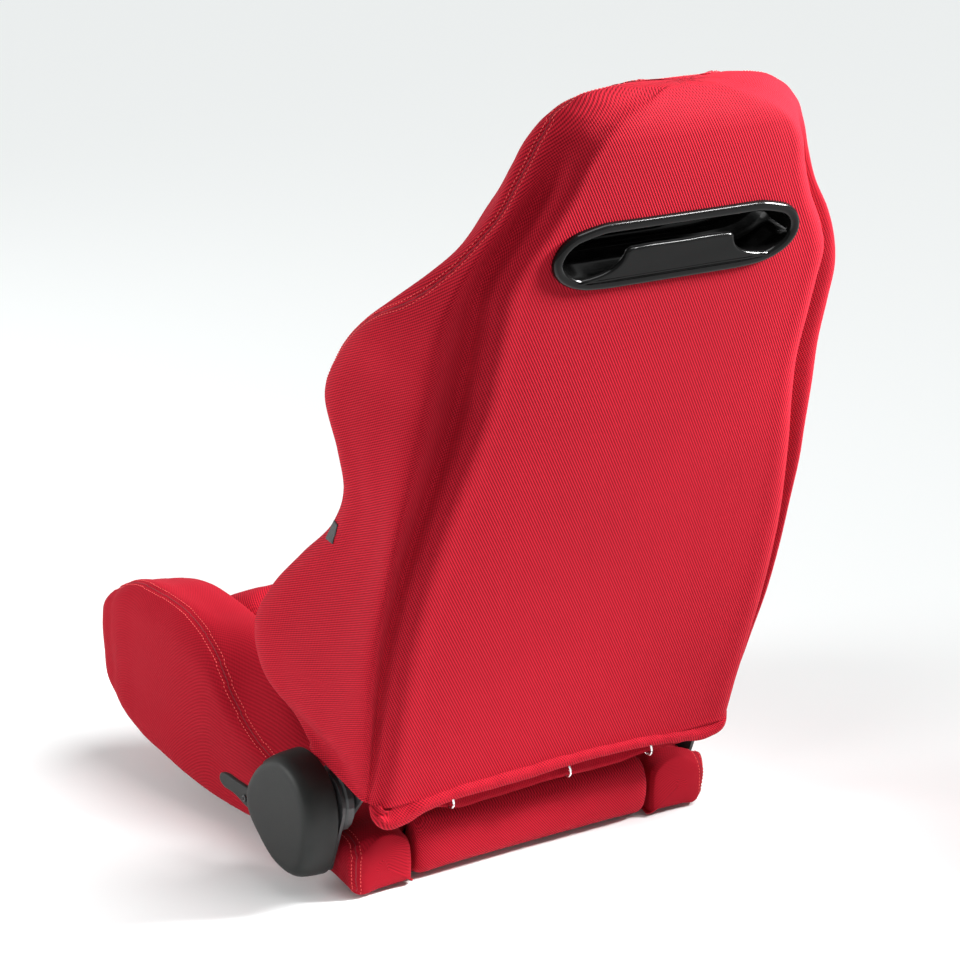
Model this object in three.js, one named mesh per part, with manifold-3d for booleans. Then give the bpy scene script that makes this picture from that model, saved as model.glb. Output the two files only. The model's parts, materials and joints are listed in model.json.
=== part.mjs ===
// A reclining racing seat: a steel base with a sprung cushion, a winged backrest that turns on a
// disc recliner, and the lever that releases it. Millimetres, +Z up, the occupant faces -Y and
// their left hand is at +X. The origin is the middle of the base pan's flat underside.

import * as THREE from "three";
import { mergeVertices } from "three/addons/utils/BufferGeometryUtils.js";
import Module from "manifold-3d";

const wasm = await Module();
wasm.setup();

// ---------------------------------------------------------------- driving dimensions

const GAP = 0.3; // between pieces that touch

// Base pan and the frame on it.
const PAN = { halfWidth: 200, halfLength: 205, sheet: 2.5, rim: 14, corner: 8 };
const RAIL_HOLE = { x: 150, front: -165, rear: 150, radius: 4.4 };
const NUT = { acrossFlats: 13, height: 6.5, bore: 3.4 };
const SIDE_MEMBER = { x: 185, width: 25, height: 40, halfLength: 196, wall: 2.5 };
const BASE_TUBE = { radius: 12.5, wall: 2, z: 18, front: -190, rear: 172 };

// The recliner axis, square to the seat's sides, and the backrest's lean from upright.
const PIVOT = new THREE.Vector3(0, 195, 105);
const LEAN = THREE.MathUtils.degToRad(17);

// Hinge stack along X, left side outwards: arm, disc, base plate, spring, lever, cover.
const ARM = { inner: 226, outer: 230, endRadius: 28 };
const DISC = { inner: 230.5, outer: 242.2, radius: 36, boss: 20 };
const BASE_PLATE = { inner: 242.5, outer: 246.5 };
const RETURN_SPRING = { inner: 247.2, outer: 253.2, firstRadius: 9, pitch: 4.5, turns: 2.5, strip: 2 };
const SHAFT = { radius: 5, bore: 5.4, inner: 222, end: 254.6 };
const LEVER = { inner: 272, strip: 3, outer: 283, hubRadius: 13, tipRadius: 8 };
const LEVER_SCREW = { y: 84, z: 77, bore: 2.6, shank: 2.2, head: 4 };
const COVER = { inner: 250, outer: 288, wall: 2.5 };
const RIGHT_PLATE = { inner: 230.8, outer: 234.8 };
const PLATE_BOLT = { ys: [146, 186], z: 35, radius: 4, sleeve: 8, head: 7, headHeight: 4 };

// Cushion.
const CUSHION_SPLIT = 150; // half-width of the flat centre between the bolsters
const CUSHION_FLOOR = 44; // underside of the centre pad, just over the springs
const SEAT_SPRING = { ys: [-120, -40, 40, 120], z: 38, halfSpan: 170 };

// Backrest, in its own frame about the pivot: x, t rearwards, s up the lean.
const BACK_SPLIT = 152; // half-width of the flat centre between the wings
const BACK_REAR = 77.5; // t of the rear cover's outer face
const COVER_SHEET = 11; // the padded rear cover's thickness
const POCKET_FRONT = 12; // t where the foam ends and the hollow for the frame starts
const WING_TOP = 704; // s where the wings end and the head begins
const FRAME_TUBE = { radius: 11, t: 36 };
const BACK_SPRING = { ss: [170, 270, 370, 470], t: 20, radius: 2 };
const HEM = { halfWidth: 230, front: 70, rear: 79.5, low: 10, high: 43 };
const RING = { xs: { left: 143, centre: -10, right: -121 }, s: 20, radius: 8, wire: 1.3 };

// Harness guide: a frame with round ends about the slot in the head. Its outline's left half is
// given upwards, then the left edge of the plate that stands in the slot, downwards.
const GUIDE = {
  outline: [
    [88, 636.5], [112, 638.5], [131, 645], [145.5, 655.5], [151, 668], [149, 683], [140, 696],
    [128, 703], [96, 709.7],
  ],
  plate: [[66, 680], [73, 664], [88, 651.5]],
  lowS: 636.5,
  rim: 12.5,
};

// ---------------------------------------------------------------- materials

const FINISH = {
  cloth: { color: 0xc81e32, roughness: 0.9, metalness: 0 },
  blackPlastic: { color: 0x2a2a2b, roughness: 0.55, metalness: 0 },
  blackSteel: { color: 0x18181a, roughness: 0.45, metalness: 0.6 },
  brightSteel: { color: 0xc9ccd0, roughness: 0.25, metalness: 1 },
  springSteel: { color: 0x5a5d61, roughness: 0.4, metalness: 0.9 },
  label: { color: 0x101011, roughness: 0.8, metalness: 0 },
};

function named(name, finish, geometry) {
  const mesh = new THREE.Mesh(geometry, new THREE.MeshStandardMaterial(FINISH[finish]));
  mesh.name = name;
  return mesh;
}

// ---------------------------------------------------------------- shape helpers

const v2 = (x, y) => new THREE.Vector2(x, y);
const v3 = (x, y, z) => new THREE.Vector3(x, y, z);

// The value at a place along a list of [place, value] stations, straight between them.
function along(stations, place) {
  const after = stations.findIndex(([at]) => at >= place);
  if (after < 0) return stations.at(-1)[1];
  if (after === 0) return stations[0][1];
  const [a, low] = stations[after - 1];
  const [b, high] = stations[after];
  return THREE.MathUtils.mapLinear(place, a, b, low, high);
}

// The triangles that close one end of a loft, turning the way its outline does or against it.
function capFaces(section, first, against) {
  const turn = THREE.ShapeUtils.area(section) * (against ? -1 : 1);
  return THREE.ShapeUtils.triangulateShape(section, []).map(([a, b, c]) => {
    const area = THREE.ShapeUtils.area([section[a], section[b], section[c]]);
    const face = area * turn > 0 ? [a, b, c] : [a, c, b];
    return face.map((i) => i + first);
  });
}

// A closed body through flat sections with equal point counts; place() puts a section's
// point into space.
function loft(sections, place) {
  const count = sections[0].length;
  const points = sections.flatMap((section, k) => section.map((point) => place(point, k)));
  const faces = [];
  for (let k = 0; k < sections.length - 1; k += 1) {
    for (let i = 0; i < count; i += 1) {
      const a = k * count + i;
      const b = k * count + ((i + 1) % count);
      faces.push([a, b, b + count], [a, b + count, a + count]);
    }
  }
  const last = (sections.length - 1) * count;
  faces.push(...capFaces(sections[0], 0, true), ...capFaces(sections.at(-1), last, false));
  let volume = 0;
  for (const [a, b, c] of faces) {
    volume += points[a].dot(v3().crossVectors(points[b], points[c]));
  }
  const outward = volume < 0 ? faces.map(([a, b, c]) => [a, c, b]) : faces;
  const geometry = new THREE.BufferGeometry().setFromPoints(points);
  geometry.setIndex(outward.flat());
  return geometry;
}

function solid(geometry) {
  const bare = geometry.clone();
  bare.deleteAttribute("normal");
  bare.deleteAttribute("uv");
  const merged = mergeVertices(bare, 1e-4);
  const vertProperties = new Float32Array(merged.attributes.position.array);
  const triVerts = new Uint32Array(merged.index.array);
  return new wasm.Manifold(new wasm.Mesh({ numProp: 3, vertProperties, triVerts }));
}

function geometryOf(body) {
  const mesh = body.getMesh();
  const geometry = new THREE.BufferGeometry();
  geometry.setAttribute("position", new THREE.BufferAttribute(mesh.vertProperties, 3));
  geometry.setIndex(new THREE.BufferAttribute(mesh.triVerts, 1));
  return geometry;
}

function cut(geometry, ...tools) {
  return geometryOf(tools.reduce((body, tool) => body.subtract(solid(tool)), solid(geometry)));
}

function join(geometry, ...others) {
  return geometryOf(others.reduce((body, other) => body.add(solid(other)), solid(geometry)));
}

function box(x0, x1, y0, y1, z0, z1) {
  const geometry = new THREE.BoxGeometry(x1 - x0, y1 - y0, z1 - z0);
  return geometry.translate((x0 + x1) / 2, (y0 + y1) / 2, (z0 + z1) / 2);
}

function rod(from, to, radius, sides = 16) {
  const axis = v3().subVectors(to, from);
  const geometry = new THREE.CylinderGeometry(radius, radius, axis.length(), sides);
  const turn = new THREE.Quaternion().setFromUnitVectors(v3(0, 1, 0), axis.normalize());
  geometry.applyQuaternion(turn);
  const middle = v3().addVectors(from, to).multiplyScalar(0.5);
  return geometry.translate(middle.x, middle.y, middle.z);
}

// A rod along X from one x to another, at a height and depth.
function rodX(x0, x1, y, z, radius, sides = 16) {
  return rod(v3(x0, y, z), v3(x1, y, z), radius, sides);
}

// A shape drawn in (y, z) and pushed along X.
function plateX(shape, x0, x1, curveSegments = 8) {
  const options = { depth: x1 - x0, bevelEnabled: false, curveSegments };
  const geometry = new THREE.ExtrudeGeometry(shape, options);
  const turn = new THREE.Matrix4().makeBasis(v3(0, 1, 0), v3(0, 0, 1), v3(1, 0, 0));
  return geometry.applyMatrix4(turn).translate(x0, 0, 0);
}

// A shape drawn in (x, z) and pushed along Y.
function plateY(shape, y0, y1) {
  const options = { depth: y1 - y0, bevelEnabled: false, curveSegments: 6 };
  const geometry = new THREE.ExtrudeGeometry(shape, options);
  return geometry.rotateX(Math.PI / 2).translate(0, y1, 0);
}

function outline(points) {
  return new THREE.Shape(points.map(([x, y]) => v2(x, y)));
}

function smoothLoop(points, count) {
  const curve = new THREE.CatmullRomCurve3(points.map(([x, y]) => v3(x, y, 0)), true, "centripetal");
  return curve.getSpacedPoints(count).slice(0, count).map((p) => v2(p.x, p.y));
}

function circleHole(x, y, radius) {
  return new THREE.Path().absarc(x, y, radius, 0, Math.PI * 2, true);
}

function roundedRectangle(halfX, halfY, corner) {
  const shape = new THREE.Shape();
  shape.absarc(halfX - corner, halfY - corner, corner, 0, Math.PI / 2);
  shape.absarc(corner - halfX, halfY - corner, corner, Math.PI / 2, Math.PI);
  shape.absarc(corner - halfX, corner - halfY, corner, Math.PI, Math.PI * 1.5);
  shape.absarc(halfX - corner, corner - halfY, corner, Math.PI * 1.5, Math.PI * 2);
  return shape;
}

function tube(curve, radius, steps, sides) {
  const section = new THREE.Shape(
    Array.from({ length: sides }, (_, i) => {
      const angle = (i / sides) * Math.PI * 2;
      return v2(radius * Math.cos(angle), radius * Math.sin(angle));
    }),
  );
  return new THREE.ExtrudeGeometry(section, { steps, bevelEnabled: false, extrudePath: curve });
}

// A zigzag spring wire with rounded turns, lying flat and running along X.
class SinuousWire extends THREE.Curve {
  constructor(halfSpan, swing, waves, place) {
    super();
    Object.assign(this, { halfSpan, swing, waves, place });
  }

  getPoint(u, target = v3()) {
    const x = THREE.MathUtils.lerp(-this.halfSpan, this.halfSpan, u);
    return target.copy(this.place(x, this.swing * Math.sin(u * this.waves * Math.PI * 2)));
  }
}

function mirrorX(geometry) {
  const mirrored = mergeVertices(geometry).applyMatrix4(new THREE.Matrix4().makeScale(-1, 1, 1));
  const order = mirrored.index.array;
  for (let i = 0; i < order.length; i += 3) {
    [order[i + 1], order[i + 2]] = [order[i + 2], order[i + 1]];
  }
  return mirrored;
}

const seat = new THREE.Group();
const backrest = new THREE.Group();
backrest.position.copy(PIVOT);
backrest.rotation.x = -LEAN;
seat.add(backrest);

// The pair of pieces that mirror each other: the left one lies at +X.
function addPair(group, name, finish, geometry) {
  group.add(named(`${name}_left`, finish, geometry));
  group.add(named(`${name}_right`, finish, mirrorX(geometry)));
}

// ---------------------------------------------------------------- base frame

function basePan() {
  const floor = roundedRectangle(PAN.halfWidth, PAN.halfLength, PAN.corner);
  for (const side of [-1, 1]) {
    for (const y of [RAIL_HOLE.front, RAIL_HOLE.rear]) {
      floor.holes.push(circleHole(side * RAIL_HOLE.x, y, RAIL_HOLE.radius));
    }
  }
  const rim = roundedRectangle(PAN.halfWidth, PAN.halfLength, PAN.corner);
  const inside = PAN.corner - PAN.sheet;
  rim.holes.push(roundedRectangle(PAN.halfWidth - PAN.sheet, PAN.halfLength - PAN.sheet, inside));
  const flat = { bevelEnabled: false, curveSegments: 4 };
  return join(
    new THREE.ExtrudeGeometry(floor, { ...flat, depth: PAN.sheet }),
    new THREE.ExtrudeGeometry(rim, { ...flat, depth: PAN.rim }),
  );
}

function railNut(x, y) {
  const corner = NUT.acrossFlats / Math.sqrt(3);
  const hex = new THREE.Shape(
    Array.from({ length: 6 }, (_, i) => {
      return v2(corner * Math.cos((i * Math.PI) / 3), corner * Math.sin((i * Math.PI) / 3));
    }),
  );
  hex.holes.push(circleHole(0, 0, NUT.bore));
  const options = { depth: NUT.height, bevelEnabled: false, curveSegments: 4 };
  return new THREE.ExtrudeGeometry(hex, options).translate(x, y, PAN.sheet + GAP);
}

function sideMember() {
  const { x, width, height, halfLength, wall } = SIDE_MEMBER;
  const low = PAN.sheet + GAP;
  const outer = box(x - width / 2, x + width / 2, -halfLength, halfLength, low, low + height);
  const bore = box(
    x - width / 2 + wall, x + width / 2 - wall,
    -halfLength - 1, halfLength + 1,
    low + wall, low + height - wall,
  );
  return cut(outer, bore);
}

function baseCrossTube(y) {
  const half = SIDE_MEMBER.x - SIDE_MEMBER.width / 2 - GAP;
  const outer = rodX(-half, half, y, BASE_TUBE.z, BASE_TUBE.radius, 14);
  const bore = rodX(-half - 1, half + 1, y, BASE_TUBE.z, BASE_TUBE.radius - BASE_TUBE.wall, 14);
  return cut(outer, bore);
}

seat.add(named("base_pan", "blackSteel", basePan()));
for (const [end, y] of [["front", RAIL_HOLE.front], ["rear", RAIL_HOLE.rear]]) {
  seat.add(named(`rail_nut_${end}_left`, "brightSteel", railNut(RAIL_HOLE.x, y)));
  seat.add(named(`rail_nut_${end}_right`, "brightSteel", railNut(-RAIL_HOLE.x, y)));
}
addPair(seat, "side_member", "blackSteel", sideMember());
seat.add(named("front_cross_tube", "blackSteel", baseCrossTube(BASE_TUBE.front)));
seat.add(named("rear_cross_tube", "blackSteel", baseCrossTube(BASE_TUBE.rear)));

SEAT_SPRING.ys.forEach((y, i) => {
  const wire = new SinuousWire(SEAT_SPRING.halfSpan, 18, 5, (x, swing) => {
    return v3(x, y + swing, SEAT_SPRING.z);
  });
  seat.add(named(`seat_spring_${i + 1}`, "springSteel", tube(wire, 2, 36, 4)));
});

// ---------------------------------------------------------------- cushion

// The centre pad, cut across X: a sloping top, a rolled front edge, a flat floor.
function cushionCentre() {
  const profile = [
    [-228, CUSHION_FLOOR], [-256, 75], [-266, 130], [-264, 170], [-249, 193],
    [-216, 198], [-110, 165], [0, 142], [90, 126], [165, 117], [196, 110], [203, 90], [203, 58],
    [190, CUSHION_FLOOR],
  ];
  const crown = [[-1, 6], [-0.8, 0], [0, -3], [0.8, 0], [1, 6]];
  const sections = crown.map(([, drop]) => profile.map(([y, z]) => {
    return v2(y, z > CUSHION_FLOOR + 20 ? z - drop : z);
  }));
  return loft(sections, (p, k) => v3(crown[k][0] * (CUSHION_SPLIT - 2), p.x, p.y));
}

// One thigh bolster, cut across Y. Each station: y, ridge height, outer edge height,
// widest half-width, bottom height, inner half-width.
const THIGH_STATIONS = [
  [-294, 176, 168, 238, 128, 178],
  [-280, 202, 198, 257, 108, 160],
  [-246, 221, 224, 265, 77, CUSHION_SPLIT],
  [-199, 231, 236, 263, 52, CUSHION_SPLIT],
  [-150, 230, 235, 261, 42, CUSHION_SPLIT],
  [-102, 222, 226, 258, 32, CUSHION_SPLIT],
  [-46, 209, 192, 252, 24, CUSHION_SPLIT],
  [-14, 188, 150, 248, 21, CUSHION_SPLIT],
  [38, 150, 113, 243, 20, CUSHION_SPLIT],
  [75, 120, 98, 241, 20, CUSHION_SPLIT],
  [98, 104, 90, 240, 17, CUSHION_SPLIT],
  [150, 84, 75, 240, 10, CUSHION_SPLIT],
  [196, 74, 68, 240, 5, CUSHION_SPLIT],
  [205.4, 73, 67, 240, 4, 163],
  [206.2, 73, 67, 240, 4, 163],
  [216, 72, 65, 240, 3, 163],
  [219, 71, 64, 240, 3, 163],
  [229, 68, 60, 240, 3, 163],
  [234.5, 66, 54, 236, 9, 165],
];
const BESIDE_PLATE = { front: 80, rear: 217 }; // the bolster's depth that passes a hinge plate

function thighBolster(plateFace) {
  const frame = v2(SIDE_MEMBER.x + 20, 46.5);
  const sections = THIGH_STATIONS.map(([y, ridge, edge, widest, low, inner]) => {
    const passes = y > BESIDE_PLATE.front && y < BESIDE_PLATE.rear;
    const wide = passes ? Math.min(widest, plateFace - 1) : widest;
    const clear = y > PAN.halfLength + 1 ? v2(0, 0) : frame;
    const notch = v2(Math.max(clear.x, inner + 4), Math.max(clear.y, low + 3));
    return [
      v2(inner, notch.y + (ridge - notch.y) * 0.55),
      v2(inner + 0.22 * (wide - inner), ridge - 5),
      v2((inner + wide) / 2, ridge),
      v2(inner + 0.8 * (wide - inner), edge + 1),
      v2(wide - 4, edge - 0.1 * (edge - low)),
      v2(wide, edge - 0.3 * (edge - low)),
      v2(wide - 1, edge - 0.65 * (edge - low)),
      v2(wide - 6, low + 4),
      v2(Math.max(wide - 12, notch.x + 1.5), low),
      v2(notch.x, low),
      notch,
      v2(inner, notch.y),
    ];
  });
  const whole = loft(sections, (p, k) => v3(p.x, THIGH_STATIONS[k][0], p.y));
  const sleeves = PLATE_BOLT.ys.map((y) => {
    return rodX(190, 260, y, PLATE_BOLT.z, PLATE_BOLT.sleeve + GAP * 2, 12);
  });
  return cut(whole, ...sleeves);
}

// The roll that closes the cushion at the rear, cut across X.
function cushionRearRoll() {
  const profile = [
    [206, 12], [206, 66], [213, 76], [224, 74], [233, 62], [236.5, 42], [235, 22], [230, 8],
    [222, 3.5], [210, 4],
  ];
  const ends = [[-158, 0.82], [-150, 0.97], [0, 1], [150, 0.97], [158, 0.82]];
  const middle = v2(221, 36);
  const sections = ends.map(([, size]) => {
    return profile.map(([y, z]) => v2(y, z).sub(middle).multiplyScalar(size).add(middle));
  });
  return loft(sections, (p, k) => v3(ends[k][0], p.x, p.y));
}

seat.add(named("cushion_centre_pad", "cloth", cushionCentre()));
seat.add(named("cushion_bolster_left", "cloth", thighBolster(BASE_PLATE.inner)));
seat.add(named("cushion_bolster_right", "cloth", mirrorX(thighBolster(RIGHT_PLATE.inner))));
seat.add(named("cushion_rear_roll", "cloth", cushionRearRoll()));

// ---------------------------------------------------------------- recliner, left side

// The plate that carries the fixed half of the recliner, in (y, z).
function hingePlateShape() {
  const { y, z } = PIVOT;
  const shape = new THREE.Shape();
  shape.moveTo(130, 26);
  shape.lineTo(200, 26);
  shape.lineTo(y + DISC.radius - 4, z - 12);
  shape.absarc(y, z, DISC.radius - 2, -0.35, Math.PI * 0.9);
  shape.lineTo(118, 62);
  for (const boltY of PLATE_BOLT.ys) {
    shape.holes.push(circleHole(boltY, PLATE_BOLT.z, PLATE_BOLT.radius + GAP));
  }
  shape.holes.push(circleHole(y, z, SHAFT.bore));
  return shape;
}

function reclinerDisc() {
  const { inner, outer, radius, boss } = DISC;
  const step = 2.5;
  const profile = [
    [SHAFT.bore, 0], [boss, 0], [radius - 3, 0], [radius, step], [radius, outer - inner - step],
    [radius - 3, outer - inner], [boss, outer - inner], [SHAFT.bore, outer - inner],
    [SHAFT.bore, 0],
  ].map(([r, h]) => v2(r, h));
  const lathe = new THREE.LatheGeometry(profile, 20);
  const turn = new THREE.Matrix4().makeBasis(v3(0, 0, 1), v3(1, 0, 0), v3(0, 1, 0));
  return lathe.applyMatrix4(turn).translate(inner, PIVOT.y, PIVOT.z);
}

// A flat strip wound in a spiral about the pivot.
function returnSpring() {
  const { inner, outer, firstRadius, pitch, turns, strip } = RETURN_SPRING;
  const steps = Math.round(turns * 12);
  const edge = (offset) => Array.from({ length: steps + 1 }, (_, i) => {
    const angle = (i / steps) * turns * Math.PI * 2;
    const r = firstRadius + (pitch * angle) / (Math.PI * 2) + offset;
    return v2(PIVOT.y + r * Math.cos(angle), PIVOT.z + r * Math.sin(angle));
  });
  const shape = new THREE.Shape([...edge(0), ...edge(strip).reverse()]);
  return plateX(shape, inner, outer);
}

function plateBolt(y, headFrom) {
  const { z, radius, head, headHeight } = PLATE_BOLT;
  const start = SIDE_MEMBER.x + SIDE_MEMBER.width / 2 + GAP;
  const shank = rodX(start, headFrom + 1, y, z, radius, 12);
  return join(shank, rodX(headFrom, headFrom + headHeight, y, z, head, 6));
}

function plateSleeve(y, end) {
  const { z, radius, sleeve } = PLATE_BOLT;
  const start = SIDE_MEMBER.x + SIDE_MEMBER.width / 2 + GAP;
  const outer = rodX(start, end, y, z, sleeve, 12);
  return cut(outer, rodX(start - 1, end + 1, y, z, radius + GAP, 12));
}

// The outline of the recliner's plastic cover in (y, z), at a share of its full size.
const COVER_OUTLINE = [
  [155, 153], [192, 149], [219, 132], [232, 103], [229, 70], [215, 36], [190, 20],
  [150, 23], [112, 44], [89, 68], [87, 91], [103, 118], [127, 140],
];
const COVER_MIDDLE = [159, 88];

function coverSections(inset, steps) {
  const loop = smoothLoop(COVER_OUTLINE, 28);
  const middle = v2(...COVER_MIDDLE);
  return steps.map(([, share]) => loop.map((p) => {
    const out = p.clone().sub(middle);
    return out.multiplyScalar(share - inset / out.length()).add(middle);
  }));
}

function reclinerCover() {
  const { inner, outer, wall } = COVER;
  const depth = outer - inner;
  const steps = [
    [0, 1], [0.55, 0.98], [0.78, 0.94], [0.92, 0.88], [1, 0.79],
  ];
  const shell = loft(coverSections(0, steps), (p, k) => v3(inner + steps[k][0] * depth, p.x, p.y));
  const hollow = loft(coverSections(wall, steps), (p, k) => {
    return v3(inner - 1 + steps[k][0] * (depth + 1 - wall), p.x, p.y);
  });
  const slot = box(LEVER.inner - 2, LEVER.outer + 1.5, 80, 140, 62, 134);
  return cut(shell, hollow, slot);
}

const platePieces = [
  ["left", 1, BASE_PLATE.inner, BASE_PLATE.outer],
  ["right", -1, RIGHT_PLATE.inner, RIGHT_PLATE.outer],
];
for (const [side, sign, inner, outer] of platePieces) {
  const mirror = sign < 0 ? mirrorX : (geometry) => geometry;
  const plate = plateX(hingePlateShape(), inner, outer);
  seat.add(named(`hinge_plate_${side}`, "blackSteel", mirror(plate)));
  PLATE_BOLT.ys.forEach((y, i) => {
    const end = ["front", "rear"][i];
    const bolt = plateBolt(y, outer + GAP);
    const sleeve = plateSleeve(y, inner - GAP);
    seat.add(named(`plate_bolt_${end}_${side}`, "brightSteel", mirror(bolt)));
    seat.add(named(`plate_sleeve_${end}_${side}`, "springSteel", mirror(sleeve)));
  });
}
seat.add(named("recliner_disc", "springSteel", reclinerDisc()));
seat.add(named("recliner_return_spring", "springSteel", returnSpring()));
seat.add(named("recliner_cover", "blackPlastic", reclinerCover()));

// ---------------------------------------------------------------- hinge, right side

function pivotBolt() {
  const { y, z } = PIVOT;
  const shank = rodX(-241, -224, y, z, SHAFT.radius);
  const insideHead = rodX(-225.6, -219, y, z, 10, 6);
  const outsideHead = rodX(-242, -(RIGHT_PLATE.outer + GAP), y, z, 10, 12);
  return join(shank, insideHead, outsideHead);
}

seat.add(named("pivot_bolt_right", "brightSteel", pivotBolt()));

// ---------------------------------------------------------------- release lever

function leverArm() {
  const { y, z } = PIVOT;
  const { hubRadius, tipRadius } = LEVER;
  const shape = new THREE.Shape();
  shape.absarc(y, z, hubRadius, -Math.PI * 0.55, Math.PI * 0.6);
  shape.lineTo(LEVER_SCREW.y + 4, LEVER_SCREW.z + tipRadius);
  shape.absarc(LEVER_SCREW.y, LEVER_SCREW.z, tipRadius, Math.PI / 2, Math.PI * 1.5);
  shape.holes.push(circleHole(LEVER_SCREW.y, LEVER_SCREW.z, LEVER_SCREW.bore));
  const strip = plateX(shape, LEVER.inner, LEVER.inner + LEVER.strip, 6);
  return join(strip, rodX(SHAFT.end + 0.4, LEVER.inner + 1, y, z, hubRadius - 3));
}

function leverGrip() {
  const shape = outline([
    [122, 68], [124, 82], [118, 91], [98, 90], [64, 90], [38, 91], [30, 88], [29, 80], [36, 76],
    [60, 74], [84, 68], [100, 66],
  ]);
  shape.holes.push(circleHole(LEVER_SCREW.y, LEVER_SCREW.z, LEVER_SCREW.bore));
  return plateX(shape, LEVER.inner + LEVER.strip + GAP, LEVER.outer - 1.5, 6);
}

function leverScrew() {
  const { y, z, shank, head } = LEVER_SCREW;
  const stem = rodX(LEVER.inner - 1, LEVER.outer - 1, y, z, shank, 10);
  return join(stem, rodX(LEVER.outer - 1.5 + GAP, LEVER.outer + 0.8, y, z, head, 12));
}

function releaseShaft() {
  return rodX(SHAFT.inner, SHAFT.end, PIVOT.y, PIVOT.z, SHAFT.radius);
}

seat.add(named("release_shaft", "springSteel", releaseShaft()));
seat.add(named("lever_arm", "blackSteel", leverArm()));
seat.add(named("lever_grip", "blackPlastic", leverGrip()));
seat.add(named("lever_screw", "brightSteel", leverScrew()));

// ---------------------------------------------------------------- backrest frame

// The bent tube's left half from its foot to the middle of the top, as x and s.
const FRAME_BENDS = [
  [213, 30], [213, 110], [212, 190], [201, 320], [183, 430], [176, 560], [170, 660],
  [155, 722], [122, 757], [70, 768], [0, 770],
];

function backFrameTube() {
  const right = FRAME_BENDS.slice(0, -1).map(([x, s]) => v3(-x, FRAME_TUBE.t, s));
  const left = FRAME_BENDS.map(([x, s]) => v3(x, FRAME_TUBE.t, s)).reverse();
  const path = new THREE.CatmullRomCurve3([...right, ...left], false, "centripetal");
  return tube(path, FRAME_TUBE.radius, 44, 8);
}

function backArm() {
  const shape = new THREE.Shape();
  shape.absarc(0, 0, ARM.endRadius, Math.PI * 0.95, Math.PI * 1.95);
  shape.lineTo(46, 40);
  shape.lineTo(52, 150);
  shape.lineTo(20, 150);
  shape.lineTo(14, 38);
  shape.lineTo(-18, 22);
  shape.holes.push(circleHole(0, 0, SHAFT.bore));
  return plateX(shape, ARM.inner, ARM.outer);
}

function backCrossTube(s, radius) {
  const reach = along(FRAME_BENDS.map(([x, at]) => [at, x]), s) - FRAME_TUBE.radius - 1;
  return rodX(-reach, reach, FRAME_TUBE.t, s, radius, 12);
}

backrest.add(named("back_frame_tube", "blackSteel", backFrameTube()));
addPair(backrest, "back_arm", "blackSteel", backArm());
backrest.add(named("back_lower_cross_tube", "blackSteel", backCrossTube(78, 9)));
backrest.add(named("back_upper_cross_tube", "blackSteel", backCrossTube(608, 9)));

BACK_SPRING.ss.forEach((s, i) => {
  const reach = along(FRAME_BENDS.map(([x, at]) => [at, x]), s);
  const wire = new SinuousWire(reach, 18, 5, (x, swing) => v3(x, BACK_SPRING.t, s + swing));
  const spring = tube(wire, BACK_SPRING.radius, 36, 4);
  backrest.add(named(`lumbar_spring_${i + 1}`, "springSteel", spring));
});

// ---------------------------------------------------------------- backrest upholstery

// The wing by height s: half-width, t of its front edge, half-width of the rear cover,
// half-width of the hollow, radius of the rolled front edge, half-width and t of the shoulder
// behind its side.
const WING_STATIONS = [
  [40, 246, -34, 236, 231.5, 14, 240, 60],
  [60, 246, -84, 236.5, 231.5, 18, 242, 60],
  [84, 262, -122, 237, 231.5, 20, 244, 60],
  [110, 269, -138, 238.5, 231.5, 21, 246.5, 60],
  [140, 272, -145, 240, 231.5, 22, 250, 60],
  [189, 269, -132, 243, 231.5, 22, 257, 60],
  [255, 263, -95, 243, 231.5, 22, 261, 59],
  [316, 260, -56, 239, 224, 21, 260.5, 58],
  [370, 262, -43, 231, 212, 20, 259.5, 57],
  [410, 268, -55, 224, 205, 20, 255.5, 56],
  [458, 274, -83, 214, 198, 22, 252, 54],
  [510, 273, -74, 206, 193, 22, 248, 51],
  [560, 272, -44, 206, 191, 20, 247.5, 50],
  [600, 261, -14, 206, 190, 14, 247, 49],
  [640, 241, 10, 205, 189, 12, 236, 47],
  [668, 224, 26, 192, 184, 10, 221, 46],
  [WING_TOP, 201, 28, 180, 175, 10, 197, 47],
];
const CENTRE_FRONT = [[40, -12], [70, -24], [180, -34], [300, -30], [480, -20], [WING_TOP, -20]];

function backWing() {
  const skinRear = BACK_REAR - COVER_SHEET - GAP;
  const thinnest = 2.4;
  const sections = WING_STATIONS.map(([s, wide, front, rear, hollow, roll, ...shoulder]) => {
    const centre = v2(wide - 0.82 * roll, front + 0.57 * roll);
    const rolled = [-30, 10, 50, 90, 130].map((degrees) => {
      const angle = THREE.MathUtils.degToRad(degrees);
      return v2(centre.x + roll * Math.cos(angle), centre.y - roll * Math.sin(angle));
    });
    const seatSide = along(CENTRE_FRONT, s);
    const side = v2((shoulder[0] + 2 * rolled[0].x) / 3 + 1, (shoulder[1] + rolled[0].y) / 2);
    return [
      v2(rear, skinRear),
      v2(rear + 2, Math.min(shoulder[1] + 6, skinRear - 2)),
      v2(...shoulder),
      side,
      ...rolled,
      v2((BACK_SPLIT + centre.x) / 2, Math.min((seatSide + front) / 2 + 8, seatSide + 4)),
      v2(BACK_SPLIT, seatSide),
      v2(BACK_SPLIT, POCKET_FRONT),
      v2(hollow, POCKET_FRONT),
      v2(Math.min(hollow, rear - thinnest), skinRear),
    ];
  });
  return loft(sections, (p, k) => v3(p.x, p.y, WING_STATIONS[k][0]));
}

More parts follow.
